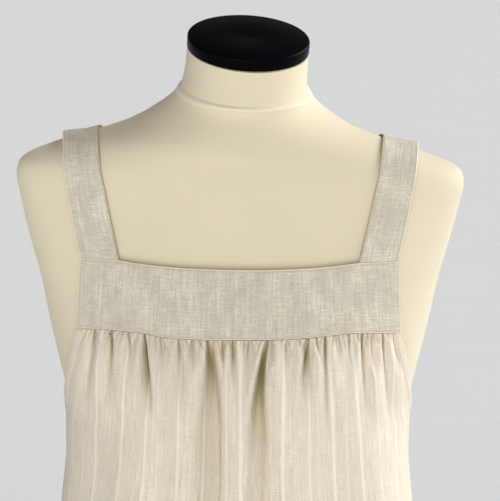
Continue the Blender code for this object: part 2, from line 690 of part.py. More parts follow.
def main():
    clear_scene()
    plain_linen = material("plain_linen", (0.565, 0.525, 0.425), 0.90)
    striped_linen = material("striped_linen", (0.700, 0.630, 0.510), 0.90)
    jersey = material("jersey", (0.780, 0.690, 0.490), 0.75)
    lacquer = material("lacquer", (0.009, 0.010, 0.013), 0.28)
    steel = material("steel", (0.560, 0.560, 0.570), 0.32, 1.0)
    paint = material("paint", (0.015, 0.015, 0.017), 0.40)

    front = Side(-1.0, FRONT_FOLDS, FRONT_FLUTES, 0.4)
    back = Side(1.0, BACK_FOLDS, BACK_FLUTES, 1.3)

    form_body(jersey)
    neck_cap(lacquer)
    stand(steel, paint)
    yoke("front_yoke", front, plain_linen)
    yoke("back_yoke", back, plain_linen)
    strap("strap_left", -1, plain_linen)
    strap("strap_right", 1, plain_linen)
    skirt_panel("front_skirt", front, striped_linen)
    skirt_panel("back_skirt", back, striped_linen)


main()
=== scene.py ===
# %% [markdown]
# A linen pinafore dress on a limbless dress form.
# The imported CAD model is the frame: it says where every piece is, in metres, with +Z up
# and the front facing -Y. The CAD solids hold the sizes. This lesson makes what is seen:
# thin cloth with its gathers, seams and stitches, a smooth jersey-covered form, and the
# finish of every surface. Loading the frame comes first.

# %% Load the frame
import json
import math
from collections import namedtuple

import bmesh
import bpy
import numpy as np
from mathutils import Matrix, Vector

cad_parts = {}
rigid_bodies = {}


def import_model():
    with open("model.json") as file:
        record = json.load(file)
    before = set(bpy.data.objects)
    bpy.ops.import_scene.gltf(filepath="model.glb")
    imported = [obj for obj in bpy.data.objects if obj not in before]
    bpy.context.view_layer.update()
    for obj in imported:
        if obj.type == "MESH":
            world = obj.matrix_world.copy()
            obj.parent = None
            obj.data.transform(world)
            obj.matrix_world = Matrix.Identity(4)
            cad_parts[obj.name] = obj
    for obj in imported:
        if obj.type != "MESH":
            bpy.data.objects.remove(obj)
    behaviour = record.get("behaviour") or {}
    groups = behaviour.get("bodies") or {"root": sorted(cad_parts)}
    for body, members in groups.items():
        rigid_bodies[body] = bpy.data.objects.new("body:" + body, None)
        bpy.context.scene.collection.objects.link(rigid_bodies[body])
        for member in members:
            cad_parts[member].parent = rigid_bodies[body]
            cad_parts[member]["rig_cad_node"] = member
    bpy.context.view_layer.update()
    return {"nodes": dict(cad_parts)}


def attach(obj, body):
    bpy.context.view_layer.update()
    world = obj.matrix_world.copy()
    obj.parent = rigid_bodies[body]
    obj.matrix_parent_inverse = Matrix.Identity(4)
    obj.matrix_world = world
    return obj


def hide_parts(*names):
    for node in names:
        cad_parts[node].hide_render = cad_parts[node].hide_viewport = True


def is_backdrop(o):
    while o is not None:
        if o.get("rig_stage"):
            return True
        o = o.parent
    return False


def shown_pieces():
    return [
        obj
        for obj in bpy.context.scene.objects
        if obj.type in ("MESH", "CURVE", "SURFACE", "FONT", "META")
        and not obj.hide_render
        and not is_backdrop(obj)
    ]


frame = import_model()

scene = bpy.context.scene
print("CAD nodes:", sorted(frame["nodes"]))

# %% [markdown]
# The camera stands where the photographer's did: straight in front, a little above the
# yoke, looking 10 degrees down, through a long lens. It could be set by eye, but the
# seams are level in the photograph only for one height and tilt, so both were worked out
# from the neck cap's ellipse and the ends of the yoke. Blender turns a camera about its
# own axis last, so the slight lean of the photograph is a turn about the local Z.

# %% Camera
CAMERA_TARGET = Vector((0.0099, -0.110, 1.300))
CAMERA_PITCH = math.radians(10.0)
CAMERA_LEAN = math.radians(0.6)
CAMERA_DISTANCE = 2.0
FOCAL_PIXELS = 2222.0
PHOTO_LONG_SIDE = 501.0
SENSOR = 36.0

camera_data = bpy.data.cameras.new("photo_camera")
camera_data.sensor_width = SENSOR
camera_data.lens = FOCAL_PIXELS / PHOTO_LONG_SIDE * SENSOR
camera = bpy.data.objects.new("photo_camera", camera_data)
scene.collection.objects.link(camera)
away = Vector((0.0, -math.cos(CAMERA_PITCH), math.sin(CAMERA_PITCH)))
upright = Matrix.Rotation(math.radians(90) - CAMERA_PITCH, 4, "X")
lean = Matrix.Rotation(CAMERA_LEAN, 4, "Z")
camera.matrix_world = Matrix.Translation(CAMERA_TARGET + away * CAMERA_DISTANCE) @ upright @ lean
scene.camera = camera
print("lens %.1f mm at %.2f m" % (camera_data.lens, CAMERA_DISTANCE))

# %% [markdown]
# Node trees are long to write node by node, so one helper adds a node and connects it. An
# input is given as a plain value or as the output socket that feeds it. A second helper
# does arithmetic, and a third moves a value from one range to another.

# %% Helpers for node trees
def put(tree, kind, inputs=None, **settings):
    """Adds a node. inputs maps a socket's name or number to a value or an output socket."""
    added = tree.nodes.new(kind)
    added.location = (len(tree.nodes) % 9 * 190, -(len(tree.nodes) // 9) * 240)
    for setting, value in settings.items():
        setattr(added, setting, value)
    for socket, value in (inputs or {}).items():
        if isinstance(value, bpy.types.NodeSocket):
            tree.links.new(value, added.inputs[socket])
        else:
            added.inputs[socket].default_value = value
    return added


def calc(tree, operation, *values):
    """One Math node, which gives its output socket."""
    return put(tree, "ShaderNodeMath", dict(enumerate(values)), operation=operation).outputs[0]


def ranged(tree, value, low=0.0, high=1.0, to_low=0.0, to_high=1.0, **settings):
    """A value between low and high, moved to lie between to_low and to_high."""
    return put(tree, "ShaderNodeMapRange", {
        "Value": value, "From Min": low, "From Max": high, "To Min": to_low, "To Max": to_high,
    }, **settings).outputs[0]


# %% [markdown]
# The photograph's light was worked out from its shading. The form's front is evenly lit,
# from low down and a little to the left, so there is a broad soft light there. The right
# shoulder and the right of the neck are brightest and the left shoulder is dark, so a
# window stands to the right and slightly behind. Two sun lamps with wide angles do this:
# their soft shadows don't fade with distance, so the far floor stays as pale as the near
# one. The room itself is pale near the floor and darker above and to the left, but where
# the camera sees past the floor it is as pale as the floor. The floor is one large plain
# disc, and it counts as stage, not as part of the object.

# %% Light
Lamp = namedtuple("Lamp", "name azimuth height strength spread colour")
LAMPS = [
    Lamp("room_front", -6.0, 8.0, 2.13, 45.0, (1.0, 0.985, 0.955)),
    Lamp("window", 116.0, 31.0, 3.3, 40.0, (1.0, 0.995, 0.99)),
]
ROOM_LOW = 0.50
ROOM_HIGH = 0.07
ROOM_LEFT = 0.50
ROOM_RIGHT = 1.30
ROOM_SEEN = 0.74
ROOM_FADE = (0.10, 0.60)
ROOM_SIDES = 0.9
ROOM_COLOUR = (0.97, 0.985, 1.0, 1.0)
FLOOR_RADIUS = 45.0
FLOOR_DROP = 0.0006

scene.view_settings.view_transform = "Standard"
for lamp in LAMPS:
    data = bpy.data.lights.new(lamp.name, "SUN")
    data.energy = lamp.strength
    data.angle = math.radians(lamp.spread)
    data.color = lamp.colour
    azimuth, height = math.radians(lamp.azimuth), math.radians(lamp.height)
    level = math.cos(height)
    towards = Vector((math.sin(azimuth) * level, -math.cos(azimuth) * level, math.sin(height)))
    placed = bpy.data.objects.new(lamp.name, data)
    placed.rotation_euler = towards.to_track_quat("Z", "Y").to_euler()
    scene.collection.objects.link(placed)

room = bpy.data.worlds.new("white_room")
room.use_nodes = True
sky = room.node_tree
towards = put(sky, "ShaderNodeSeparateXYZ", {
    "Vector": put(sky, "ShaderNodeTexCoord").outputs["Generated"],
})
upwards = ranged(sky, towards.outputs["Z"], *ROOM_FADE, ROOM_LOW, ROOM_HIGH)
sideways = ranged(sky, towards.outputs["X"], -ROOM_SIDES, ROOM_SIDES, ROOM_LEFT, ROOM_RIGHT)
strength = put(sky, "ShaderNodeMix", {
    "Factor": put(sky, "ShaderNodeLightPath").outputs["Is Camera Ray"],
    "A": calc(sky, "MULTIPLY", upwards, sideways),
    "B": ROOM_SEEN,
})
background = sky.nodes["Background"]
background.inputs["Color"].default_value = ROOM_COLOUR
sky.links.new(strength.outputs["Result"], background.inputs["Strength"])
scene.world = room
print("lamps:", [lamp.name for lamp in LAMPS])

# %% [markdown]
# A finish is a material: a Principled shader whose constant values are set on its own
# sockets, and whose colour and bump come from nodes. What more than one finish uses is a
# node group with named sockets, which is built once and placed with its own values. A
# pattern reads Object coordinates, which are metres here, or the cloth's own UV map.

# %% Helpers for finishes
def shader_group(name, inputs, outputs):
    """An empty node group with float sockets, and its input and output nodes."""
    tree = bpy.data.node_groups.new(name, "ShaderNodeTree")
    for socket, value in inputs.items():
        made = tree.interface.new_socket(socket, in_out="INPUT", socket_type="NodeSocketFloat")
        made.default_value = value
    for socket in outputs:
        tree.interface.new_socket(socket, in_out="OUTPUT", socket_type="NodeSocketFloat")
    return tree, tree.nodes.new("NodeGroupInput"), tree.nodes.new("NodeGroupOutput")


def use_group(tree, group_tree, inputs):
    """A node group placed in a material, with its own values."""
    return put(tree, "ShaderNodeGroup", inputs, node_tree=group_tree)


def noise_at(tree, across, along, across_size, along_size, detail):
    """Noise stretched to these sizes in metres along a cloth's two directions."""
    place = put(tree, "ShaderNodeCombineXYZ", {
        "X": calc(tree, "DIVIDE", across, across_size),
        "Y": calc(tree, "DIVIDE", along, along_size),
    })
    spots = put(tree, "ShaderNodeTexNoise", {
        "Vector": place.outputs[0], "Scale": 1.0, "Detail": detail, "Roughness": 0.6,
    })
    return spots.outputs["Fac"]


def object_place(tree, stretch=(1, 1, 1)):
    """Object coordinates, each multiplied by its own stretch."""
    place = put(tree, "ShaderNodeTexCoord").outputs["Object"]
    return put(tree, "ShaderNodeMapping", {"Vector": place, "Scale": stretch}).outputs[0]


def speckle(tree, scale, detail, stretch=(1, 1, 1)):
    """Noise on Object coordinates."""
    return put(tree, "ShaderNodeTexNoise", {
        "Vector": object_place(tree, stretch), "Scale": scale, "Detail": detail,
    }).outputs["Fac"]


def marked(tree, attribute):
    """How strongly an attribute of the mesh marks this place."""
    return put(tree, "ShaderNodeAttribute", attribute_name=attribute).outputs["Fac"]


def new_finish(name, roughness, metallic=0.0, **constants):
    """A material with a Principled shader, its node tree and the shader itself."""
    made = bpy.data.materials.new(name)
    made.use_nodes = True
    shader = made.node_tree.nodes["Principled BSDF"]
    shader.inputs["Roughness"].default_value = roughness
    shader.inputs["Metallic"].default_value = metallic
    for socket, value in constants.items():
        shader.inputs[socket.replace("_", " ")].default_value = value
    return made, made.node_tree, shader


def mix_colour(tree, share, first, second):
    """A blend of two colours by a value from 0 to 1."""
    mixed = put(tree, "ShaderNodeMix", {0: share}, data_type="RGBA")
    for slot, colour in ((6, first), (7, second)):
        if isinstance(colour, bpy.types.NodeSocket):
            tree.links.new(colour, mixed.inputs[slot])
        else:
            mixed.inputs[slot].default_value = (*colour, 1.0)
    return mixed.outputs[2]


def painted(tree, shader, share, first, second):
    """Feeds a blend of two colours to the shader."""
    tree.links.new(mix_colour(tree, share, first, second), shader.inputs["Base Color"])


def bumped(tree, shader, height, strength, distance):
    """Feeds the shader normals that a height has bent."""
    bump = put(tree, "ShaderNodeBump", {
        "Height": height, "Strength": strength, "Distance": distance,
    })
    tree.links.new(bump.outputs[0], shader.inputs["Normal"])


# %% [markdown]
# Linen is a plain weave: each thread goes over one and under the next, both ways. Its
# yarn is spun from long, uneven fibres, so here and there a thread is thicker, which
# weavers call a slub. An image could show this, but it would be stretched by the gathers
# and blurred up close. Two groups draw it from sums instead: one for the threads and one
# for the slubs and the uneven colour. Both read the cloth's own UV map, in metres.

# %% Linen: threads and slubs
threads, threads_in, threads_out = shader_group(
    "plain_weave", {"Across": 0.0, "Along": 0.0, "Pitch": 0.0006}, ["Height"]
)
over = {}
for name in ("Across", "Along"):
    turns = calc(threads, "DIVIDE", threads_in.outputs[name], threads_in.outputs["Pitch"])
    wave = calc(threads, "SINE", calc(threads, "MULTIPLY", turns, math.pi))
    over[name] = (calc(threads, "ABSOLUTE", wave), calc(threads, "FLOOR", turns))
both = calc(threads, "ADD", over["Across"][1], over["Along"][1])
checker = calc(threads, "ABSOLUTE", calc(threads, "MODULO", both, 2.0))
warp = calc(threads, "MULTIPLY", over["Across"][0], checker)
weft = calc(threads, "MULTIPLY", over["Along"][0], calc(threads, "SUBTRACT", 1.0, checker))
threads.links.new(calc(threads, "ADD", warp, weft), threads_out.inputs["Height"])

slubs, slubs_in, slubs_out = shader_group(
    "linen_slubs", {"Across": 0.0, "Along": 0.0, "Warp Share": 0.6}, ["Tone", "Blotch", "Height"]
)
u, v = slubs_in.outputs["Across"], slubs_in.outputs["Along"]
warp_share = slubs_in.outputs["Warp Share"]
weft_share = calc(slubs, "SUBTRACT", 1.0, warp_share)
long_lines = calc(slubs, "MULTIPLY", noise_at(slubs, u, v, 0.0026, 0.110, 2.0), 0.3)
warp_lines = calc(slubs, "MULTIPLY", noise_at(slubs, u, v, 0.0016, 0.022, 2.0), warp_share)
weft_lines = calc(slubs, "MULTIPLY", noise_at(slubs, u, v, 0.013, 0.0015, 2.0), weft_share)
lines = calc(slubs, "ADD", warp_lines, weft_lines)
specks = calc(slubs, "MULTIPLY", noise_at(slubs, u, v, 0.0011, 0.0013, 1.0), 0.5)
fine = calc(slubs, "ADD", long_lines, specks)
tone = calc(slubs, "ADD", calc(slubs, "MULTIPLY", lines, 0.9), fine)
slubs.links.new(tone, slubs_out.inputs["Tone"])
wide_spots = calc(slubs, "MULTIPLY", noise_at(slubs, u, v, 0.021, 0.027, 3.0), 0.7)
long_spots = calc(slubs, "MULTIPLY", noise_at(slubs, u, v, 0.0050, 0.036, 2.0), 0.3)
slubs.links.new(calc(slubs, "ADD", wide_spots, long_spots), slubs_out.inputs["Blotch"])
slubs.links.new(calc(slubs, "ADD", lines, specks), slubs_out.inputs["Height"])
print("groups:", threads.name, slubs.name)

# %% [markdown]
# The skirt's stripes are woven in: every so often a few warp threads are left cream.
# Because the cloth is gathered, they don't look evenly spaced, and they spread downwards
# as the gathers open. Stripe holds one row for each that shows: where it starts at the
# yoke's seam, where it is a hand's breadth below, its width and how clear it is. The
# group makes one soft-edged band for each and keeps the strongest.

# %% Stripes
MM = 0.001
Stripe = namedtuple("Stripe", "seam low width clear")
STRIPES = [
    Stripe(-155.0, -226.0, 2.6, 0.60),
    Stripe(-150.5, -206.0, 1.6, 0.45),
    Stripe(-146.3, -186.0, 1.6, 0.55),
    Stripe(-137.0, -167.5, 1.0, 0.35),
    Stripe(-126.7, -147.5, 3.0, 0.95),
    Stripe(-114.0, -129.0, 1.0, 0.35),
    Stripe(-101.8, -112.5, 3.0, 1.00),
    Stripe(-82.0, -86.4, 2.2, 0.90),
    Stripe(-71.6, -75.1, 1.1, 0.50),
    Stripe(-53.4, -54.8, 2.3, 0.85),
    Stripe(-43.0, -43.6, 0.9, 0.35),
    Stripe(-33.0, -32.5, 2.2, 0.80),
    Stripe(-11.5, -9.5, 2.2, 0.70),
    Stripe(3.0, 3.7, 3.0, 0.95),
    Stripe(20.0, 21.0, 1.0, 0.40),
    Stripe(43.1, 42.4, 3.0, 1.00),
    Stripe(55.5, 55.8, 1.0, 0.35),
    Stripe(66.0, 67.7, 2.2, 0.75),
    Stripe(74.0, 76.4, 1.2, 0.45),
    Stripe(82.1, 93.3, 3.0, 0.95),
    Stripe(96.5, 106.6, 1.3, 0.60),
    Stripe(104.3, 121.7, 3.0, 0.95),
    Stripe(124.4, 144.6, 1.4, 0.60),
    Stripe(138.0, 159.0, 1.0, 0.35),
    Stripe(145.5, 173.9, 2.2, 0.80),
    Stripe(152.0, 199.0, 2.8, 0.80),
    Stripe(155.5, 224.0, 1.4, 0.60),
]
STRIPE_EDGE = 0.60
STRIPE_CLEAR = 0.80

stripes, stripes_in, stripes_out = shader_group("woven_stripes", {"Across": 0.0}, ["Mask"])
across_mm = calc(stripes, "DIVIDE", stripes_in.outputs["Across"], MM)
strongest = None
for stripe in STRIPES:
    away_from = calc(stripes, "ABSOLUTE", calc(stripes, "SUBTRACT", across_mm, stripe.low))
    band = ranged(
        stripes, away_from, stripe.width / 2 - STRIPE_EDGE, stripe.width / 2 + STRIPE_EDGE,
        stripe.clear * STRIPE_CLEAR, 0.0, interpolation_type="SMOOTHSTEP",
    )
    strongest = band if strongest is None else calc(stripes, "MAXIMUM", strongest, band)
stripes.links.new(strongest, stripes_out.inputs["Mask"])
print(len(STRIPES), "stripes on each panel")

# %% [markdown]
# Two linens are made from these groups. Their colour moves between a darker and a lighter
# tone with the slubs, and the blotches pull it slightly towards pink or grey, as undyed
# yarn does. The skirt's linen adds the cream stripes. Where a row of stitching presses the
# cloth down, an attribute called pressed darkens it, because the needle's holes are there.
# Another called edge lightens a turned edge: partly the threads that the fold opens, and
# partly a painted highlight where the rounded edge would catch the light. A third called
# shade browns the bottom of a pinched fold, where next to no light gets in.
# Both linens are matt with a little sheen, and their bump comes from the threads.

# %% Linen finishes
TONE_RANGE = (0.62, 1.08)
BLOTCH_RANGE = (0.38, 0.64)
BLOTCH_MOST = 0.62
THREAD_SHADES = (0.90, 1.06)
Mark = namedtuple("Mark", "attribute most colour")
# The edge mark is partly a painted highlight along turned edges; the shade mark is painted shade in
# the folds.
MARKS = [
    Mark("pressed", 0.32, (0.22, 0.19, 0.13)),
    Mark("edge", 0.80, (0.98, 0.90, 0.70)),
    Mark("shade", 1.00, (0.235, 0.188, 0.030)),
]


def linen_finish(name, dark, light, tint, warp_share, striped=None):
    made, tree, shader = new_finish(name, 0.92, Sheen_Weight=0.10, Sheen_Roughness=0.5,
                                    Specular_IOR_Level=0.2)
    place = put(tree, "ShaderNodeUVMap", uv_map="cloth").outputs["UV"]
    parts = put(tree, "ShaderNodeSeparateXYZ", {"Vector": place})
    across, along = parts.outputs["X"], parts.outputs["Y"]
    uneven = use_group(tree, slubs, {"Across": across, "Along": along, "Warp Share": warp_share})
    weave = use_group(tree, threads, {"Across": across, "Along": along})
    colour = mix_colour(tree, ranged(tree, uneven.outputs["Tone"], *TONE_RANGE), dark, light)
    blotch = ranged(tree, uneven.outputs["Blotch"], *BLOTCH_RANGE, 0.0, BLOTCH_MOST)
    colour = mix_colour(tree, blotch, colour, tint)
    if striped is not None:
        mask = use_group(tree, stripes, {"Across": across}).outputs["Mask"]
        colour = mix_colour(tree, mask, colour, striped)
    for mark in MARKS:
        amount = calc(tree, "MULTIPLY", marked(tree, mark.attribute), mark.most)
        colour = mix_colour(tree, amount, colour, mark.colour)
    # The hollows between the threads are painted a little darker: painted shade at the weave's scale.
    threads_shade = ranged(tree, weave.outputs["Height"], 0.0, 1.0, *THREAD_SHADES)
    shaded = put(tree, "ShaderNodeVectorMath", {0: colour, 1: threads_shade}, operation="MULTIPLY")
    tree.links.new(shaded.outputs[0], shader.inputs["Base Color"])
    thread_height = calc(tree, "MULTIPLY", weave.outputs["Height"], 0.55)
    height = calc(tree, "ADD", thread_height, uneven.outputs["Height"])
    bumped(tree, shader, height, 0.45, 0.00022)
    return made


plain_linen = linen_finish(
    "plain_linen_weave", (0.50, 0.455, 0.355), (0.98, 0.92, 0.785), (0.53, 0.485, 0.39), 0.50
)
striped_linen = linen_finish(
    "striped_linen_weave", (0.65, 0.565, 0.44), (0.975, 0.91, 0.78), (0.80, 0.695, 0.565), 0.68,
    striped=(0.965, 0.915, 0.80),
)
print("linens:", plain_linen.name, striped_linen.name)

# %% [markdown]
# The form is covered in a fine cream jersey, stretched so tight that its knit hardly
# shows. A faint wavy grain of half-millimetre loops and very slight blotches are enough,
# and where an attribute called rolled marks its seam, the jersey is paler. The cap
# is black lacquer that has dulled, so little but its edge shines. The stand is black enamel
# on a satin steel pole, with fine brushed streaks round the pole.

# %% Jersey, lacquer, enamel and steel
jersey, tree, shader = new_finish("jersey_knit", 0.80, Sheen_Weight=0.18, Sheen_Roughness=0.45,
                                  Specular_IOR_Level=0.25)
tone = mix_colour(tree, speckle(tree, 14.0, 3.0), (0.765, 0.685, 0.50), (0.845, 0.755, 0.565))
painted(tree, shader, calc(tree, "MULTIPLY", marked(tree, "rolled"), 0.6), tone, (0.93, 0.87, 0.72))
bumped(tree, shader, speckle(tree, 1700.0, 1.0, (1, 1, 0.35)), 0.35, 0.0002)

lacquer, tree, shader = new_finish("black_lacquer", 0.32, Specular_IOR_Level=0.03)
dust = speckle(tree, 90.0, 4.0)
painted(tree, shader, dust, (0.0006, 0.0010, 0.0016), (0.0015, 0.0021, 0.0032))
tree.links.new(ranged(tree, dust, to_low=0.28, to_high=0.42), shader.inputs["Roughness"])

enamel, tree, shader = new_finish("black_enamel", 0.42)
peel = speckle(tree, 420.0, 2.0)
painted(tree, shader, peel, (0.013, 0.013, 0.015), (0.020, 0.020, 0.023))
bumped(tree, shader, peel, 0.2, 0.0003)

steel, tree, shader = new_finish("satin_steel", 0.32, 1.0)
streaks = speckle(tree, 1.0, 2.0, (3, 3, 900))
painted(tree, shader, streaks, (0.50, 0.50, 0.51), (0.62, 0.62, 0.63))
tree.links.new(ranged(tree, streaks, to_low=0.26, to_high=0.40), shader.inputs["Roughness"])

floor_paint, tree, shader = new_finish("pale_floor", 0.85, Specular_IOR_Level=0.2)
painted(tree, shader, speckle(tree, 3.0, 3.0), (0.87, 0.88, 0.89), (0.905, 0.915, 0.92))
print("finishes:", jersey.name, lacquer.name, enamel.name, steel.name, floor_paint.name)

# %% [markdown]
# Mesh helpers. Every soft piece here is a closed thin shell: an outer grid of points, an
# inner one a cloth's thickness behind it, and a rim that joins them. numpy makes whole
# grids at once, which is far quicker than bmesh calls for each vertex. Normals are worked
# out again at the end, so the faces point outwards whichever way the grid runs.

# %% Helpers for meshes
def plain_object(name, vertices, faces, finish, smooth_angle=50):
    """A smooth-shaded object whose faces point outwards, with its edges sharp past an angle."""
    mesh = bpy.data.meshes.new(name)
    mesh.from_pydata([tuple(p) for p in vertices], [], [tuple(f) for f in faces])
    shape = bmesh.new()
    shape.from_mesh(mesh)
    bmesh.ops.recalc_face_normals(shape, faces=shape.faces[:])
    shape.to_mesh(mesh)
    shape.free()
    mesh.shade_smooth()
    mesh.set_sharp_from_angle(angle=math.radians(smooth_angle))
    mesh.materials.append(finish)
    made = bpy.data.objects.new(name, mesh)
    scene.collection.objects.link(made)
    return made


def give_uv(made, places):
    """A UV map called cloth, in metres, from one place for each vertex."""
    layer = made.data.uv_layers.new(name="cloth")
    corner = np.zeros(len(made.data.loops), dtype=np.int32)
    made.data.loops.foreach_get("vertex_index", corner)
    layer.data.foreach_set("uv", np.asarray(places, dtype=np.float32)[corner].ravel())


def cloth_shell(name, outer, inner, places, finish, pressed=None, edge=None, shade=None):
    """A closed shell between two grids of points, rows by columns by 3."""
    rows, columns = outer.shape[:2]
    count = rows * columns
    index = np.arange(count).reshape(rows, columns)
    corners = (index[:-1, :-1], index[:-1, 1:], index[1:, 1:], index[1:, :-1])
    quads = np.stack(corners, axis=-1).reshape(-1, 4)
    rim = np.concatenate([index[0], index[1:, -1], index[-1, -2::-1], index[-2:0:-1, 0]])
    after = np.roll(rim, -1)
    band = np.stack([after, rim, rim + count, after + count], axis=1)
    faces = np.concatenate([quads, quads[:, ::-1] + count, band])
    vertices = np.concatenate([outer.reshape(-1, 3), inner.reshape(-1, 3)])
    made = plain_object(name, vertices.tolist(), faces.tolist(), finish)
    flat_places = places.reshape(-1, 2)
    give_uv(made, np.concatenate([flat_places, flat_places]))
    for attribute, given in (("pressed", pressed), ("edge", edge), ("shade", shade)):
        amount = np.zeros(count) if given is None else np.asarray(given).ravel()
        layer = made.data.attributes.new(attribute, "FLOAT", "POINT")
        behind = amount if attribute == "shade" else np.zeros(count)
        layer.data.foreach_set("value", np.concatenate([amount, behind]).astype(np.float32))
    return made


def triangles(made):
    """How many triangles a piece's faces make."""
    return sum(len(face.vertices) - 2 for face in made.data.polygons)


floor_angle = np.linspace(0, 2 * math.pi, 96, endpoint=False)
floor_rim = np.stack([
    FLOOR_RADIUS * np.cos(floor_angle),
    FLOOR_RADIUS * np.sin(floor_angle),
    np.full(len(floor_angle), -FLOOR_DROP),
], axis=1)
floor = plain_object("floor", floor_rim, [tuple(range(len(floor_rim)))], floor_paint)
floor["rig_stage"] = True

# %% [markdown]
# The form's shape is a loft: level cross-sections whose widths and depths are those of a
# usual form, with smooth curves between them. These rows are the ones its solid was made
# from, with the collar bone's eased by half a millimetre, so the cover made here lies on
# that solid. A section is a superellipse, an ellipse whose corners are fuller the larger
# square is. The neck's sections tilt forwards.

# %% The form's sections
NECK_TOP_Z = 1.4713
NECK_TILT = 17.0
NECK_ROLL = 3.4
Section = namedtuple("Section", "name z half_width front back square y_centre x_shift tilt roll")
FORM_SECTIONS = [
    Section("foot", 0.700, 0.1480, 0.0960, 0.1100, 2.20, 0.000, 0.0000, 0, 0),
    Section("low_hip", 0.730, 0.1660, 0.1030, 0.1190, 2.20, 0.000, 0.0000, 0, 0),
    Section("hip", 0.790, 0.1740, 0.1060, 0.1250, 2.20, 0.000, 0.0000, 0, 0),
    Section("high_hip", 0.880, 0.1600, 0.1010, 0.1110, 2.15, 0.000, 0.0000, 0, 0),
    Section("waist", 0.990, 0.1270, 0.0870, 0.0810, 2.10, 0.000, 0.0000, 0, 0),
    Section("ribs", 1.070, 0.1440, 0.0985, 0.0890, 2.15, 0.000, 0.0000, 0, 0),
    Section("under_bust", 1.120, 0.1575, 0.1090, 0.0960, 2.20, 0.000, 0.0000, 0, 0),
    Section("bust", 1.165, 0.1680, 0.1170, 0.1030, 2.25, 0.000, 0.0000, 0, 0),
    Section("above_bust", 1.218, 0.1803, 0.1055, 0.1085, 2.30, 0.000, 0.0000, 0, 0),
    Section("chest", 1.255, 0.1878, 0.0942, 0.1095, 2.35, 0.000, 0.0000, 0, 0),
    Section("armhole", 1.300, 0.1998, 0.0810, 0.1070, 2.40, 0.000, 0.0000, 0, 0),
    Section("arm_stub", 1.331, 0.2072, 0.0735, 0.1000, 2.40, 0.000, 0.0000, 0, 0.3),
    Section("tip", 1.3523, 0.2110, 0.0693, 0.0945, 2.35, 0.000, 0.0000, 0, 0.7),
    Section("tip_round", 1.3622, 0.2086, 0.0670, 0.0910, 2.30, 0.000, 0.0000, 0, 0.8),
    Section("shoulder_end", 1.3690, 0.2005, 0.0655, 0.0885, 2.20, 0.000, 0.0000, 0, 1.0),
    Section("shoulder_out", 1.3768, 0.1815, 0.0640, 0.0860, 2.10, 0.000, 0.0000, 0, 1.2),
    Section("shoulder_mid", 1.3854, 0.1565, 0.0622, 0.0830, 2.05, 0.001, 0.0002, 0, 1.3),
    Section("shoulder_in", 1.3930, 0.1310, 0.0604, 0.0795, 2.00, 0.002, 0.0005, 1, 1.4),
    Section("collar_bone", 1.4015, 0.1065, 0.0590, 0.0745, 2.00, 0.0035, 0.0010, 3.2, 1.6),
    Section("collar_rise", 1.4125, 0.0855, 0.0583, 0.0690, 2.00, 0.006, 0.0018, 7, 1.8),
    Section("neck_root", 1.4240, 0.0695, 0.0583, 0.0635, 2.00, 0.008, 0.0026, 10, 2),
    Section("neck_seam", 1.4330, 0.0620, 0.0590, 0.0605, 2.00, 0.008, 0.0030, 12, 2),
    Section("neck_crease", 1.4385, 0.0590, 0.0578, 0.0585, 2.00, 0.008, 0.0034, 14, 3),
    Section("neck_mid", 1.4530, 0.0573, 0.0568, 0.0568, 2.00, 0.008, 0.0046, 16.5, 4),
    Section("neck_top", NECK_TOP_Z, 0.0570, 0.0560, 0.0560, 2.00, 0.008, 0.0060, NECK_TILT, NECK_ROLL),
]


def smooth_columns(heights, values, at):
    """Monotone cubic interpolation of each column of values, given at the heights."""
    heights = np.asarray(heights, float)
    values = np.asarray(values, float)
    step = np.diff(heights)
    slope = np.diff(values, axis=0) / step[:, None]
    tangent = np.zeros_like(values)
    tangent[0], tangent[-1] = slope[0], slope[-1]
    before, after = slope[:-1], slope[1:]
    same_way = before * after > 0
    total = np.where(same_way, before + after, 1.0)
    tangent[1:-1] = np.where(same_way, 2 * before * after / total, 0.0)
    at = np.clip(np.atleast_1d(np.asarray(at, float)), heights[0], heights[-1])
    cell = np.clip(np.searchsorted(heights, at, side="right") - 1, 0, len(step) - 1)
    width = step[cell][:, None]
    t = ((at - heights[cell])[:, None]) / width
    start, end = values[cell], values[cell + 1]
    return (
        (2 * t**3 - 3 * t**2 + 1) * start
        + (t**3 - 2 * t**2 + t) * width * tangent[cell]
        + (3 * t**2 - 2 * t**3) * end
        + (t**3 - t**2) * width * tangent[cell + 1]
    )


FORM_Z = [section.z for section in FORM_SECTIONS]
FORM_VALUES = [section[2:] for section in FORM_SECTIONS]
print(len(FORM_SECTIONS), "sections of the form")


def form_at(z):
    """The form's section at each height, one row each, in the order of Section after z."""
    return smooth_columns(FORM_Z, FORM_VALUES, z)


def rounded(angle, square):
    """The unit superellipse: sideways from the front's middle, and forward."""
    sine, cosine = np.sin(angle), np.cos(angle)
    power = 2.0 / square
    return np.sign(sine) * np.abs(sine) ** power, np.sign(cosine) * np.abs(cosine) ** power


# %% [markdown]
# The jersey cover is one smooth closed surface from the foot to the neck, with far more
# sides than its solid. At the foot of the neck two pieces of jersey are joined by a
# rolled seam, which shows as a low ridge with a crease above it. It could be a cord laid
# round the neck, but on the real form it is part of the cover, so it is a small swelling
# of the sections there. The foot's edge is rounded where the cover turns under.

# %% The jersey-covered form
COVER_SIDES = 208
COVER_STEP = 0.005
COVER_CLOSE_Z = 1.355
COVER_CLOSE_STEP = 0.0020
COVER_FINE_Z = 1.424
COVER_FINE_STEP = 0.0009
COVER_NECK_Z = 1.443
FOOT_ROUND = 0.006
SEAM_RIDGE_Z = 1.4326
SEAM_RIDGE = 0.0011
SEAM_RIDGE_HALF = 0.0027
SEAM_PALE_HALF = 0.0017
SEAM_CREASE_Z = 1.4368
SEAM_CREASE = 0.0005
SEAM_CREASE_HALF = 0.0014


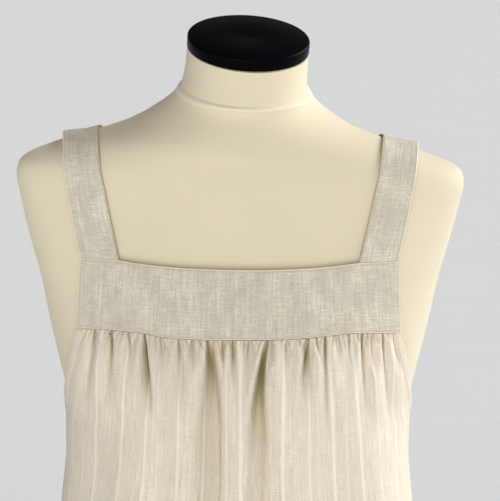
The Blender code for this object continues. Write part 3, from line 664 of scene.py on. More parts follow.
def cover_heights():
    """Rows up the form: closer over the shoulders, and closest at the neck's seam."""
    turned_under = 1 - np.cos(np.linspace(0, math.pi / 2, 6)[:-1])
    return np.concatenate([
        FORM_Z[0] + FOOT_ROUND * turned_under,
        np.arange(FORM_Z[0] + FOOT_ROUND, COVER_CLOSE_Z, COVER_STEP),
        np.arange(COVER_CLOSE_Z, COVER_FINE_Z, COVER_CLOSE_STEP),
        np.arange(COVER_FINE_Z, COVER_NECK_Z, COVER_FINE_STEP),
        np.linspace(COVER_NECK_Z, NECK_TOP_Z, 12),
    ])


cover_angle = np.linspace(0, 2 * math.pi, COVER_SIDES, endpoint=False)
cover_points = []
cover_rolled = []
for z in cover_heights():
    half_width, front, back, square, y_centre, x_shift, tilt, roll = form_at(z)[0]
    swell = SEAM_RIDGE * math.exp(-(((z - SEAM_RIDGE_Z) / SEAM_RIDGE_HALF) ** 4))
    swell -= SEAM_CREASE * math.exp(-(((z - SEAM_CREASE_Z) / SEAM_CREASE_HALF) ** 2))
    under = max(0.0, 1.0 - (z - FORM_Z[0]) / FOOT_ROUND)
    swell -= FOOT_ROUND * (1.0 - math.sqrt(max(0.0, 1.0 - under * under)))
    across, forward = rounded(cover_angle, square)
    x = (half_width + swell) * across
    y = -(np.where(forward > 0, front, back) + swell) * forward
    level = z + y * math.tan(math.radians(tilt)) - x * math.tan(math.radians(roll))
    cover_points.append(np.stack([x + x_shift, y + y_centre, level], axis=1))
    cover_rolled.append(math.exp(-(((z - SEAM_RIDGE_Z) / SEAM_PALE_HALF) ** 2)))
cover_rings = len(cover_points)
cover_faces = []
for ring in range(cover_rings - 1):
    low, high = ring * COVER_SIDES, (ring + 1) * COVER_SIDES
    for i in range(COVER_SIDES):
        j = (i + 1) % COVER_SIDES
        cover_faces.append((low + i, low + j, high + j, high + i))
cover_faces.append(tuple(range(COVER_SIDES)))
cover_faces.append(tuple(range((cover_rings - 1) * COVER_SIDES, cover_rings * COVER_SIDES)))
form_cover = plain_object("form_cover", np.concatenate(cover_points), cover_faces, jersey)
layer = form_cover.data.attributes.new("rolled", "FLOAT", "POINT")
layer.data.foreach_set("value", np.repeat(cover_rolled, COVER_SIDES).astype(np.float32))
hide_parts("form_body")
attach(form_cover, "root")
print("form cover:", cover_rings, "rings,", triangles(form_cover), "triangles")

# %% [markdown]
# The neck cap is a turned disc, so it is made by turning a profile round an axis: a flat
# top, a narrow bevel, an upright edge and a small bevel below. In the middle is the faint
# dimple that the lathe's centre leaves. It sits square on the tilted top of the neck.

# %% The lacquered neck cap
CAP_RADIUS = 0.0575
CAP_HEIGHT = 0.0120
CAP_EDGE = 0.0016
CAP_SIDES = 160
SEAT_GAP = 0.0003
DIMPLE_RADIUS = 0.0016
DIMPLE_DEPTH = 0.0005

cap_profile = [
    (0.0, 0.0),
    (CAP_RADIUS - CAP_EDGE, 0.0),
    (CAP_RADIUS - 0.3 * CAP_EDGE, 0.3 * CAP_EDGE),
    (CAP_RADIUS, CAP_EDGE),
    (CAP_RADIUS, CAP_HEIGHT - CAP_EDGE),
    (CAP_RADIUS - 0.12 * CAP_EDGE, CAP_HEIGHT - 0.6 * CAP_EDGE),
    (CAP_RADIUS - 0.38 * CAP_EDGE, CAP_HEIGHT - 0.25 * CAP_EDGE),
    (CAP_RADIUS - CAP_EDGE, CAP_HEIGHT),
    (CAP_RADIUS * 0.5, CAP_HEIGHT),
    (DIMPLE_RADIUS * 1.5, CAP_HEIGHT),
    (DIMPLE_RADIUS, CAP_HEIGHT - 0.3 * DIMPLE_DEPTH),
    (DIMPLE_RADIUS * 0.5, CAP_HEIGHT - DIMPLE_DEPTH),
    (0.0, CAP_HEIGHT - DIMPLE_DEPTH),
]


def turned(name, profile, sides, finish, place):
    """A solid of revolution from (radius, height) points that start and end on the axis."""
    turn = np.linspace(0, 2 * math.pi, sides, endpoint=False)
    points = [(0, 0, profile[0][1])]
    for radius, height in profile[1:-1]:
        points.extend((radius * math.cos(a), radius * math.sin(a), height) for a in turn)
    points.append((0, 0, profile[-1][1]))
    faces = []
    last = 1 + (len(profile) - 3) * sides
    for i in range(sides):
        j = (i + 1) % sides
        faces.append((0, 1 + j, 1 + i))
        for ring in range(len(profile) - 3):
            low, high = 1 + ring * sides, 1 + (ring + 1) * sides
            faces.append((low + i, low + j, high + j, high + i))
        faces.append((last + i, last + j, len(points) - 1))
    return plain_object(name, [place @ Vector(p) for p in points], faces, finish, 32)


top = FORM_SECTIONS[-1]
cap_place = (
    Matrix.Translation((top.x_shift, top.y_centre, NECK_TOP_Z + SEAT_GAP * 1.1))
    @ Matrix.Rotation(math.radians(NECK_ROLL), 4, "Y")
    @ Matrix.Rotation(math.radians(NECK_TILT), 4, "X")
)
cap_disc = turned("cap_disc", cap_profile, CAP_SIDES, lacquer, cap_place)
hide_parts("neck_cap")
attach(cap_disc, "root")
print("cap disc:", triangles(cap_disc), "triangles")

# %% [markdown]
# The stand is outside the photograph, so it keeps its solids: a weighted round base, a
# hub, a pole and a collar. They only need their finish, which goes into the material
# slots of the frame's own objects. Their meshes are never touched.

# %% The stand's finish
for node, finish in (("stand_base", enamel), ("stand_hub", enamel),
                     ("stand_collar", enamel), ("stand_pole", steel)):
    mesh = frame["nodes"][node].data
    for i in range(len(mesh.materials)):
        mesh.materials[i] = finish
    print(node, "->", finish.name)

# %% [markdown]
# The dress hangs round the form on rings of its own: larger superellipses that rest on
# the chest and swing out towards the hem. A panel is measured on them as cloth is, by the
# arc from its middle. Side says where a panel's cloth lies: its columns start evenly
# along the gathered seam, drift with the folds, and spread towards the hem. Its relief
# says how far the cloth stands out of the ring, fold by fold. These are the rows that the
# panels' solids were made from, so the cloth made here lies on them.

# %% The garment's rings and folds
SEAM_GAP = 0.0003
LINEN_WALL = 0.0014
DOUBLE_WALL = 0.0022
STRAP_WALL = 0.0020
CLOTH_CLEARANCE = 0.0010
EASE = 0.008
YOKE_FOOT_Z = 1.2180
YOKE_TOP_Z = 1.2785
YOKE_CORNER_Z = 1.2842
YOKE_FOOT_DIP = 0.0020
YOKE_HALF_FOOT = 0.1499
YOKE_HALF_TOP = 0.1465
NECKLINE_HALF = 0.1100
DIP_FADE = 0.090
FLARE = 0.35
EDGE_POWER = 11
DRIFT_DROP = 0.050
SPREAD_TOP_Z = 1.110
SPREAD_FOOT_Z = 0.800
UNDERARM_Z = 1.1300
HEM_Z = 0.3950
SIDE_SEAM_HALF_GAP = 0.0002

Ring = namedtuple("Ring", "name z half_width front back square")
GARMENT_RINGS = [
    Ring("hem", HEM_Z, 0.2380, 0.1740, 0.1840, 2.10),
    Ring("knee", 0.560, 0.2190, 0.1630, 0.1730, 2.10),
    Ring("thigh", 0.700, 0.2060, 0.1560, 0.1670, 2.10),
    Ring("hip", 0.810, 0.1960, 0.1500, 0.1610, 2.12),
    Ring("waist", 0.950, 0.1780, 0.1440, 0.1510, 2.20),
    Ring("ribs", 1.050, 0.1680, 0.1425, 0.1430, 2.30),
    Ring("side", 1.093, 0.1642, 0.1425, 0.1390, 2.35),
    Ring("underarm", UNDERARM_Z, 0.1644, 0.1405, 0.1350, 2.35),
    Ring("bust", 1.165, 0.1718, 0.1360, 0.1295, 2.32),
    Ring("gather_puff", 1.196, 0.1792, 0.1245, 0.1235, 2.28),
    Ring("yoke_seam", YOKE_FOOT_Z, 0.1843, 0.1105, 0.1130, 2.30),
    Ring("chest", 1.255, 0.1918, 0.0984, 0.1135, 2.35),
    Ring("armhole", 1.300, 0.2038, 0.0852, 0.1110, 2.40),
]
ArmholeRow = namedtuple("ArmholeRow", "z x")
ARMHOLE_EDGE = [
    ArmholeRow(UNDERARM_Z, 0.1644),
    ArmholeRow(1.1500, 0.1634),
    ArmholeRow(1.1800, 0.1592),
    ArmholeRow(1.1980, 0.1551),
    ArmholeRow(YOKE_FOOT_Z, YOKE_HALF_FOOT),
]

# A fold's place along the seam, its drift, greatest depth, half width at the seam and at
# its end, and how far below the seam it starts, is deepest and ends, in millimetres. Lean
# is how far a crest leans over it: the right-hand one, or if it is below zero the left
# one. Opens is how far below the seam it has its full width, if it isn't at its end.
Fold = namedtuple("Fold", "seam drift depth half low_half start peak reach lean opens",
                  defaults=(0.0, None))
FRONT_FOLDS = [
    Fold(-136, -9, 3.5, 4.0, 9.0, 0, 22, 100),
    Fold(-118, -6, 5.5, 2.4, 8.0, 0, 16, 75),
    Fold(-101, -2, 3.5, 2.2, 6.0, 0, 7, 34),
    Fold(-88, 9, 9.0, 2.8, 7.0, 0, 24, 72, 1.6),
    Fold(-71, 2, 2.5, 3.0, 6.0, 0, 9, 30),
    Fold(-54, 2, 4.0, 2.4, 7.0, 0, 10, 60),
    Fold(-42, 2, 2.5, 3.0, 6.0, 0, 8, 26),
    Fold(-26, 10, 11.0, 4.0, 12.0, 0, 36, 330, -1.6, 75),
    Fold(-14, 2, 3.5, 2.4, 6.0, 0, 8, 40),
    Fold(-5, 3, 5.0, 2.6, 7.0, 0, 13, 42),
    Fold(10, -7, 2.5, 3.0, 6.0, 0, 9, 28),
    Fold(25, -13, 12.0, 4.2, 8.0, 0, 34, 112, 2.0),
    Fold(32, -10, 9.0, 8.0, 13.0, 50, 130, 420),
    Fold(44, -3, 2.5, 3.0, 6.0, 0, 9, 30),
    Fold(63, -5, 7.0, 2.8, 7.0, 0, 14, 60, 1.0),
    Fold(80, 3, 5.0, 2.8, 8.0, 0, 16, 110),
    Fold(92, 3, 1.8, 2.6, 6.0, 0, 8, 22),
    Fold(103, 4, 3.0, 2.0, 5.0, 0, 7, 26),
    Fold(115, 8, 4.5, 2.6, 8.0, 0, 18, 90),
    Fold(125, 5, 2.6, 2.2, 6.0, 0, 12, 40),
    Fold(137, 7, 3.8, 2.6, 8.0, 0, 22, 110),
    Fold(149, 6, 2.4, 2.4, 6.0, 0, 13, 42),
]
BACK_FOLDS = [
    Fold(-147, -8, 4.0, 2.8, 7.0, 0, 16, 60),
    Fold(-132, -6, 4.5, 2.6, 8.0, 0, 22, 110),
    Fold(-117, -3, 3.5, 2.4, 6.0, 0, 9, 38),
    Fold(-99, -6, 8.0, 2.8, 9.0, 0, 26, 140),
    Fold(-82, 2, 3.0, 2.8, 6.0, 0, 9, 32),
    Fold(-66, 5, 6.5, 2.8, 8.0, 0, 22, 90),
    Fold(-50, -2, 3.0, 2.8, 6.0, 0, 9, 32),
    Fold(-34, 8, 11.0, 3.2, 12.0, 0, 40, 360, 2.0),
    Fold(-15, 0, 3.5, 2.6, 6.0, 0, 11, 45),
    Fold(2, -2, 5.0, 2.6, 7.0, 0, 16, 60),
    Fold(21, 3, 3.0, 2.8, 6.0, 0, 9, 30),
    Fold(40, -9, 10.0, 3.0, 11.0, 0, 34, 300, 2.0),
    Fold(58, 2, 3.0, 2.8, 6.0, 0, 9, 32),
    Fold(76, 3, 6.0, 2.8, 8.0, 0, 20, 80),
    Fold(91, 6, 4.0, 2.6, 6.0, 0, 12, 46),
    Fold(108, 5, 7.0, 2.8, 9.0, 0, 26, 130),
    Fold(124, 6, 4.0, 2.6, 7.0, 0, 16, 60),
    Fold(138, 8, 4.5, 2.6, 7.0, 0, 20, 70),
    Fold(150, 9, 3.5, 2.8, 6.0, 0, 14, 50),
]
FOLD_TAKE = 1.60
FLUTE_TOP_Z = 1.160
FLUTE_DEPTH = 0.0155
FRONT_FLUTES = 5.5
BACK_FLUTES = 4.5
GARMENT_Z = [ring.z for ring in GARMENT_RINGS]
GARMENT_VALUES = [ring[2:] for ring in GARMENT_RINGS]
print(len(GARMENT_RINGS), "rings,", len(FRONT_FOLDS), "folds in front,", len(BACK_FOLDS), "behind")


def garment_at(z):
    """The cloth's mean ring at each height, one row each, in the order of Ring after z."""
    return smooth_columns(GARMENT_Z, GARMENT_VALUES, z)


def pushed_clear(points, gap):
    """Moves points of the cloth that are inside the form, or nearly, out to gap from it."""
    half_width, front, back, square, y_centre, x_shift = form_at(points[:, 2])[:, :6].T
    across = points[:, 0] - x_shift
    along = points[:, 1] - y_centre
    depth = np.where(along < 0, front, back) + gap
    width = half_width + gap
    share = (np.abs(across / width) ** square + np.abs(along / depth) ** square) ** (1 / square)
    share = np.maximum(share, 0.5)
    grow = (1.0 + EASE * np.logaddexp(0.0, (share - 1.0) / EASE)) / share
    moved = points.copy()
    moved[:, 0] = x_shift + across * grow
    moved[:, 1] = y_centre + along * grow
    return moved


# %% [markdown]
# The seam that gathers the skirt also makes dozens of tiny tucks between the main folds,
# and worn linen is never quite smooth. Both are drawn by lot from a fixed seed: each tuck
# is a fold of its own, a few millimetres long, and the crumple is a sum of slow waves.

# %% Tucks and crumple
Wave = namedtuple("Wave", "across down turn")
TUCK_SLANT = 6.5
TUCK_DEPTH = 2.3
LEAN_SHIFT = 1.1
CREASE_SOFT = 0.0014
CRUMPLE = 0.00055
PINCH = 0.55
CREASE_DEPTH = 0.0040
CREASE_HALF = 0.0008
CREASE_REACH = 34.0
SHADE_DEPTH = 6.0
TUCK_SHADE_DEPTH = 2.6
SHADE_HALF = 0.0044
SHADE_LINE = 0.0010


def small_tucks(rng, half_seam, count):
    """Short shallow folds at uneven steps along the seam, most of them a little slanted."""
    tucks = []
    slants = np.random.default_rng(count).uniform(-TUCK_SLANT, TUCK_SLANT, count)
    for i in range(count):
        seam = (-1 + 2 * (i + rng.uniform(0.15, 0.85)) / count) * half_seam / MM
        tucks.append(Fold(
            seam, slants[i], rng.uniform(0.8, 2.2), rng.uniform(1.1, 1.8), rng.uniform(2.0, 3.4),
            0.0, rng.uniform(2.0, 4.5), rng.uniform(7.0, 24.0),
        ))
    return tucks


def crumple_waves(rng, count):
    """Slow waves across and down the cloth, each with its own turn."""
    return [
        Wave(rng.uniform(25, 110), rng.uniform(8, 38) * rng.choice([-1, 1]), rng.uniform(0, 6.3))
        for _ in range(count)
    ]


class Side:
    """The front or the back of the garment: its half ring at a height, measured by arc."""

    SAMPLES = 481

    def __init__(self, faces, folds, flutes, flute_turn, seed):
        self.faces = faces
        self.folds = folds
        self.flutes = flutes
        self.flute_turn = flute_turn
        self.half_seam = self.half_arc(YOKE_FOOT_Z)
        rng = np.random.default_rng(seed)
        self.tucks = small_tucks(rng, self.half_seam, 64)
        self.waves = crumple_waves(rng, 14)

    def half_ring(self, z):
        """(arc, points, outward) along the half ring at height z, from left to right."""
        half_width, front, back, square = garment_at(z)[0]
        depth = front if self.faces < 0 else back
        angle = np.linspace(-math.pi / 2, math.pi / 2, self.SAMPLES)
        across, forward = rounded(angle, square)
        points = np.stack([half_width * across, self.faces * depth * forward], axis=1)
        step = np.linalg.norm(np.diff(points, axis=0), axis=1)
        arc = np.concatenate([[0.0], np.cumsum(step)])
        arc -= arc[-1] / 2
        tangent = np.gradient(points, arc, axis=0)
        outward = np.stack([tangent[:, 1], -tangent[:, 0]], axis=1) * -self.faces
        outward /= np.linalg.norm(outward, axis=1)[:, None]
        return arc, points, outward

    def on_ring(self, z, arcs):
        """Points on the mean ring at height z and their outward directions, for these arcs."""
        arc, points, outward = self.half_ring(z)
        place = np.stack([np.interp(arcs, arc, points[:, i]) for i in (0, 1)], axis=1)
        out = np.stack([np.interp(arcs, arc, outward[:, i]) for i in (0, 1)], axis=1)
        return place, out / np.linalg.norm(out, axis=1)[:, None]

    def half_arc(self, z):
        """How far the panel reaches from its middle at height z."""
        arc, points, _ = self.half_ring(z)
        side = arc[-1] - SIDE_SEAM_HALF_GAP
        if z <= UNDERARM_Z:
            return side
        edge = smooth_columns([row.z for row in ARMHOLE_EDGE], [[row.x] for row in ARMHOLE_EDGE], z)
        return min(side, float(np.interp(edge[0, 0], points[:, 0], arc)))

    def arcs_at(self, z, seams):
        """Where the cloth that starts at these places along the seam lies at height z."""
        half_here = self.half_arc(z)
        drop = max(YOKE_FOOT_Z - z, 0.0)
        share = seams / self.half_seam
        places = [-self.half_seam] + [fold.seam * MM for fold in self.folds] + [self.half_seam]
        drifts = [0.0] + [fold.drift * MM for fold in self.folds] + [0.0]
        drift = smooth_columns(places, np.array(drifts)[:, None], seams)[:, 0]
        close = seams + drift * (1.0 - math.exp(-drop / DRIFT_DROP)) + FLARE * seams * drop
        reach = half_here - self.half_seam - FLARE * self.half_seam * drop
        close += reach * share * np.abs(share) ** (EDGE_POWER - 1)
        even = min(max((SPREAD_TOP_Z - z) / (SPREAD_TOP_Z - SPREAD_FOOT_Z), 0.0), 1.0)
        even = even * even * (3 - 2 * even)
        return close + (share * half_here - close) * even

    def cloth_at(self, seams):
        """How much cloth lies between the centre and these places along the gathered seam."""
        cloth = seams.copy()
        for fold in self.folds:
            take = FOLD_TAKE * fold.depth * MM
            reach = 1.3 * fold.half * MM
            middle = fold.seam * MM
            cloth += take / 2 * (np.tanh((seams - middle) / reach) + math.tanh(middle / reach))
        return cloth

    def columns(self, count):
        """Places along the seam, closer where there is more cloth or the armhole slants."""
        fine = np.linspace(-1.0, 1.0, 6001) * self.half_seam
        creases = sum(np.tanh((fine - self.middle(fold, 0.0)) / CREASE_SOFT) for fold in self.folds)
        measure = np.zeros(len(fine))
        for amount, weight in (
            (self.cloth_at(fine), 0.33), (fine, 0.20), (self.arcs_at(UNDERARM_Z, fine), 0.25),
            (creases, 0.22),
        ):
            measure += weight * (amount - amount[0]) / (amount[-1] - amount[0])
        return np.interp(np.linspace(0.0, 1.0, count + 1), measure, fine)

    def at_height(self, fold, down):
        """(share of the fold's depth, half width, spread from 0 to 1) this far below the seam."""
        early = 0.42 if fold.depth < 9 else 0.8
        rise = min(max((down - fold.start) / ((fold.peak - fold.start) * early), 0.0), 1.0)
        at_seam = 0.25 if fold.start == 0 else 0.0
        rise = at_seam + (1.0 - at_seam) * math.sin(rise * math.pi / 2)
        past = min(max((down - fold.peak) / (fold.reach - fold.peak), 0.0), 1.0)
        opens = fold.opens or fold.reach
        spread = min(max((down - fold.start) / (opens - fold.start), 0.0), 1.0) ** 0.7
        pinch = PINCH + (1.0 - PINCH) * spread
        half = (fold.half + (fold.low_half - fold.half) * spread) * pinch * MM
        return rise * math.cos(past * math.pi / 2) ** 1.6, half, spread

    def middle(self, fold, down):
        """Where along the seam a fold's bottom is, this far down. Only a tuck slants."""
        slant = fold.drift * down / fold.reach if fold.depth < TUCK_DEPTH else 0.0
        return (fold.seam + LEAN_SHIFT * fold.lean + slant) * MM

    def lean(self, z, seams):
        """How far the cloth is carried to the left where a crest leans over its fold."""
        down = (YOKE_FOOT_Z - z) / MM
        carried = np.zeros_like(seams)
        for fold in self.folds:
            if fold.lean and down < fold.reach:
                share, half, _ = self.at_height(fold, down)
                offset = (seams - self.middle(fold, down)) / half
                crest = math.copysign(LEAN_SHIFT, fold.lean)
                carried += fold.lean * MM * share * np.exp(-(((offset - crest) / 0.9) ** 2))
        return carried

    def shade(self, z, seams):
        """From 0 to 1, how little light reaches the bottoms of the folds at height z."""
        down = (YOKE_FOOT_Z - z) / MM
        light = np.ones_like(seams)
        for fold in self.folds + self.tucks:
            if down < fold.start or down > fold.reach:
                continue
            share, half, spread = self.at_height(fold, down)
            offset = (seams - self.middle(fold, down)) / half
            if fold.lean:
                towards = offset * math.copysign(1.0, fold.lean)
                dark = np.where(towards > 0.15, np.exp(-(((towards - 0.15) / 0.85) ** 8)),
                                np.exp(-(((towards - 0.15) / 1.20) ** 2)))
            else:
                dark = np.exp(-((offset * (1.0 + 1.5 * spread) / 0.55) ** 2))
            open_up = min(1.0, SHADE_HALF / half)
            fades = SHADE_DEPTH if fold.depth > TUCK_DEPTH else TUCK_SHADE_DEPTH
            full = 1.0 - math.exp(-fold.depth / fades)
            if fold.start > 0:
                near = 0.60
            elif fold.depth > 8:
                near = 0.75 + 0.25 * math.exp(-((down / 55.0) ** 2))
            else:
                near = 1.0 - spread**1.5
            light *= 1.0 - full * share**0.7 * open_up * near * dark
            line = (seams - self.middle(fold, down)) / SHADE_LINE
            length = 4.6 * fold.depth
            if down < length and fold.start == 0:
                sharp = min(fold.depth / 5.5, 1.0) * (1.0 - (down / length) ** 2)
                light *= 1.0 - 0.85 * sharp * np.exp(-np.abs(line) ** 2.5)
        return 1.0 - light

    def relief(self, z, seams):
        """How far the cloth stands out of its mean ring at height z."""
        height = np.zeros_like(seams)
        down = (YOKE_FOOT_Z - z) / MM
        for fold in self.folds + self.tucks:
            if down > fold.reach:
                continue
            depth, half, spread = self.at_height(fold, down)
            middle = self.middle(fold, down)
            offset = (seams - middle) / half
            trough = np.exp(-np.abs(offset) ** (1.35 + 0.65 * spread))
            crests = np.exp(-((offset / 1.3 - 1.5) ** 2)) + np.exp(-((offset / 1.3 + 1.5) ** 2))
            height += fold.depth * MM * depth * (0.28 * crests - trough)
            if fold.depth > 2 and down < CREASE_REACH:
                steep = math.sin(min(down / 4.0, 1.0) * math.pi / 2) * (1 - down / CREASE_REACH)
                core = np.abs((seams - middle) / (CREASE_HALF * (1 + spread)))
                height -= CREASE_DEPTH * steep * np.exp(-(core**1.2))
        flute_share = min(max((FLUTE_TOP_Z - z) / (FLUTE_TOP_Z - HEM_Z), 0.0), 1.0)
        share = seams / self.half_seam
        turn = math.pi * self.flutes * (share + 0.07 * np.sin(3.1 * share + self.flute_turn))
        height += FLUTE_DEPTH * flute_share**0.8 * np.sin(turn + self.flute_turn)
        height += self.crumple(z, seams)
        inside = np.clip((1.0 - np.abs(share)) / 0.10, 0.0, 1.0)
        return height * inside * inside * (3 - 2 * inside)

    def crumple(self, z, seams):
        """The slight unevenness of linen that has been worn, which fades at the seam."""
        fades = 1.0 - math.exp(-max(YOKE_FOOT_Z - z, 0.0) / 0.020)
        waves = sum(np.sin(seams * w.across + z * w.down + w.turn) for w in self.waves)
        return CRUMPLE * fades * waves / math.sqrt(len(self.waves))


front = Side(-1.0, FRONT_FOLDS, FRONT_FLUTES, 0.4, 11)
back = Side(1.0, BACK_FOLDS, BACK_FLUTES, 1.3, 29)
print("half of the gathered seam: %.1f mm" % (front.half_seam / MM))

# %% [markdown]
# Each skirt panel is one sheet of linen, under a millimetre thick. It could be simulated,
# but a simulation wouldn't put its folds where the photograph has them, so the sheet is
# laid on the rings row by row instead: close rows by the seam, where the tucks are, and
# wider ones lower down. Its UV map is the cloth's own width, so that the stripes and the
# weave follow the folds. Near the seam the map is eased so that each stripe starts where
# the photograph shows it. The gathers also pull the seam up a few millimetres at each
# side, which SEAM_LIFTS lists and the solids leave out.

# %% Skirt panels
CLOTH = 0.0009
PANEL_COLUMNS = 500
STRIPE_LEVEL_Z = 1.080
STRIPE_EASE_REACH = 0.060
HEM_DEPTH = 0.030
HEM_STEP = 0.0005
Lift = namedtuple("Lift", "x lift")
SEAM_LIFTS = [
    Lift(-150.0, 0.0), Lift(-140.0, 2.2), Lift(-124.0, 4.3), Lift(-92.0, 4.6), Lift(-84.0, 3.9),
    Lift(-72.0, 2.1), Lift(-55.0, 1.2), Lift(-30.0, 1.0), Lift(0.0, 1.2), Lift(25.0, 1.4),
    Lift(48.0, 1.9), Lift(66.0, 2.8), Lift(87.0, 4.0), Lift(105.0, 4.7), Lift(124.0, 3.2),
    Lift(140.0, 0.8), Lift(150.0, 0.0),
]


def dip(x, z):
    """How far a seam sags in its middle: most at a yoke's foot, less above and below."""
    middle = np.clip(1.0 - (x / YOKE_HALF_FOOT) ** 2, 0.0, 1.0)
    raised = np.interp(x, [row.x * MM for row in SEAM_LIFTS], [row.lift * MM for row in SEAM_LIFTS])
    reach = np.where(z > YOKE_FOOT_Z, YOKE_TOP_Z - YOKE_FOOT_Z, DIP_FADE)
    fade = np.clip(1.0 - np.abs(z - YOKE_FOOT_Z) / reach, 0.0, 1.0)
    return (YOKE_FOOT_DIP * middle - raised) * fade


def panel_heights():
    """Rows from the seam down: half a millimetre apart at first, 14 mm at the end."""
    drop, heights = SEAM_GAP / MM, []
    while drop < 165:
        heights.append(YOKE_FOOT_Z - drop * MM)
        drop += min(0.55 + drop / 12.0, 4.2)
    heights += list(np.linspace(YOKE_FOOT_Z - 0.169, HEM_Z + HEM_DEPTH + 0.002, 30))
    heights += [HEM_Z + up for up in (HEM_DEPTH + 0.0006, HEM_DEPTH - 0.0006, 0.015, 0.001, 0.0)]
    heights.append(UNDERARM_Z)
    return sorted(set(round(z, 6) for z in heights), reverse=True)


class Panel:
    """A skirt panel's outer grid, kept so that hems and stitches can be laid on it."""

    def __init__(self, side):
        self.side = side
        self.seams = side.columns(PANEL_COLUMNS)
        self.heights = np.array(panel_heights())
        self.arcs = np.array([side.arcs_at(z, self.seams) for z in self.heights])
        low = side.arcs_at(STRIPE_LEVEL_Z, self.seams)
        starts = np.array([stripe.seam * MM for stripe in STRIPES])
        lows = np.array([stripe.low * MM for stripe in STRIPES])
        eased = np.interp(self.seams, starts, lows - side.arcs_at(STRIPE_LEVEL_Z, starts))
        outer, inner, places, shades = [], [], [], []
        for z, arcs in zip(self.heights, self.arcs):
            shades.append(side.shade(z, self.seams))
            place, out = side.on_ring(z, arcs - side.lean(z, self.seams))
            relief = side.relief(z, self.seams)
            level = z - dip(place[:, 0], z)
            back_face = np.column_stack([place + out * (relief - LINEN_WALL)[:, None], level])
            clear = pushed_clear(back_face, CLOTH_CLEARANCE)
            thick = np.column_stack([out, np.zeros(len(arcs))])
            hem = HEM_STEP if z < HEM_Z + HEM_DEPTH else 0.0
            outer.append(clear + thick * (LINEN_WALL + hem))
            inner.append(clear + thick * (LINEN_WALL - CLOTH))
            near_seam = math.exp(-((YOKE_FOOT_Z - z) / STRIPE_EASE_REACH) ** 2)
            across = low + eased * near_seam
            if side.faces > 0:
                across = -across
            places.append(np.column_stack([across, np.full(len(arcs), YOKE_FOOT_Z - z)]))
        self.outer, self.inner = np.array(outer), np.array(inner)
        self.places = np.array(places)
        self.shades = np.array(shades)

    def on_cloth(self, z, arc, lift=0.0):
        """The point of the outer surface at this height and arc, lifted off it by lift."""
        row = int(np.clip(np.searchsorted(-self.heights, -z) - 1, 0, len(self.heights) - 2))
        t = (self.heights[row] - z) / (self.heights[row] - self.heights[row + 1])
        found = []
        for k in (row, row + 1):
            column = np.interp(arc, self.arcs[k], np.arange(len(self.seams)))
            grid = self.outer[k]
            found.append([np.interp(column, np.arange(len(grid)), grid[:, i]) for i in range(3)])
        point = np.array(found[0]) * (1 - t) + np.array(found[1]) * t
        _, out = self.side.on_ring(z, np.array([arc]))
        return point + np.array([out[0, 0], out[0, 1], 0.0]) * lift


def sheet_area(grid):
    """The area of a grid of points, in square metres."""
    first = grid[1:, 1:] - grid[:-1, :-1]
    second = grid[1:, :-1] - grid[:-1, 1:]
    return float(np.linalg.norm(np.cross(first, second), axis=2).sum() / 2)


panels = {"front": Panel(front), "back": Panel(back)}
for where, panel in panels.items():
    name = where + "_skirt_cloth"
    made = cloth_shell(name, panel.outer, panel.inner, panel.places, striped_linen,
                       shade=panel.shades)
    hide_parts(where + "_skirt")
    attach(made, "root")
    print(name, triangles(made), "triangles, cloth area %.3f m2" % sheet_area(panel.outer))

# %% [markdown]
# A yoke is a doubled band, so it is flat, firm and a little thicker than the skirt. Its
# edges are turned in and pressed, which rounds them, and a row of stitching 1.6 mm inside
# every edge pulls the two layers together and leaves a fine groove. The band is a grid
# that is close-set near its edges, where the rounding and the groove are, on the same
# rings as the skirt. Each point's distance from the nearest edge gives its thickness.

# %% Yokes
YOKE_THICK = 0.0021
STITCH_IN = 0.0016
GROOVE = 0.00035
GROOVE_HALF = 0.00055
EDGE_ROUND = 0.0011
# How far in from a turned edge its lightening reaches: opened threads and a painted highlight.
EDGE_OPENED_AND_HIGHLIGHT_REACH = 0.0012
YOKE_WAVE = 0.00022
YOKE_SCOOP = 2.4
YOKE_STEP = 0.0021
EDGE_STEPS = [0.0, 0.12, 0.35, 0.65, 0.95, 1.2, 1.4, 1.6, 1.8, 2.0, 2.3, 2.9, 4.0]


def edge_places(length, middle_step):
    """Places from 0 to length, close together near both ends."""
    near = np.array(EDGE_STEPS) * MM
    count = max(2, int(round((length - 2 * near[-1]) / middle_step)))
    middle = np.linspace(near[-1], length - near[-1], count + 1)[1:-1]
    return np.concatenate([near, middle, (length - near)[::-1]])


def edge_profile(distance):
    """(share of the thickness, depth of the groove, edge lightening, partly a painted highlight) this
    far from an edge.
    """
    inside = np.clip(distance / EDGE_ROUND, 0.0, 1.0)
    share = np.maximum(np.sqrt(1.0 - (1.0 - inside) ** 2), 0.16)
    groove = GROOVE * np.exp(-(((distance - STITCH_IN) / GROOVE_HALF) ** 2))
    return share, groove, np.exp(-((distance / EDGE_OPENED_AND_HIGHLIGHT_REACH) ** 2))


def yoke_top(x):
    """The height of a yoke's upper edge: a shallow scoop between the straps, level under them."""
    share = np.clip(np.abs(x) / NECKLINE_HALF, 0.0, 1.0)
    return YOKE_TOP_Z + (YOKE_CORNER_Z - YOKE_TOP_Z) * share**YOKE_SCOOP


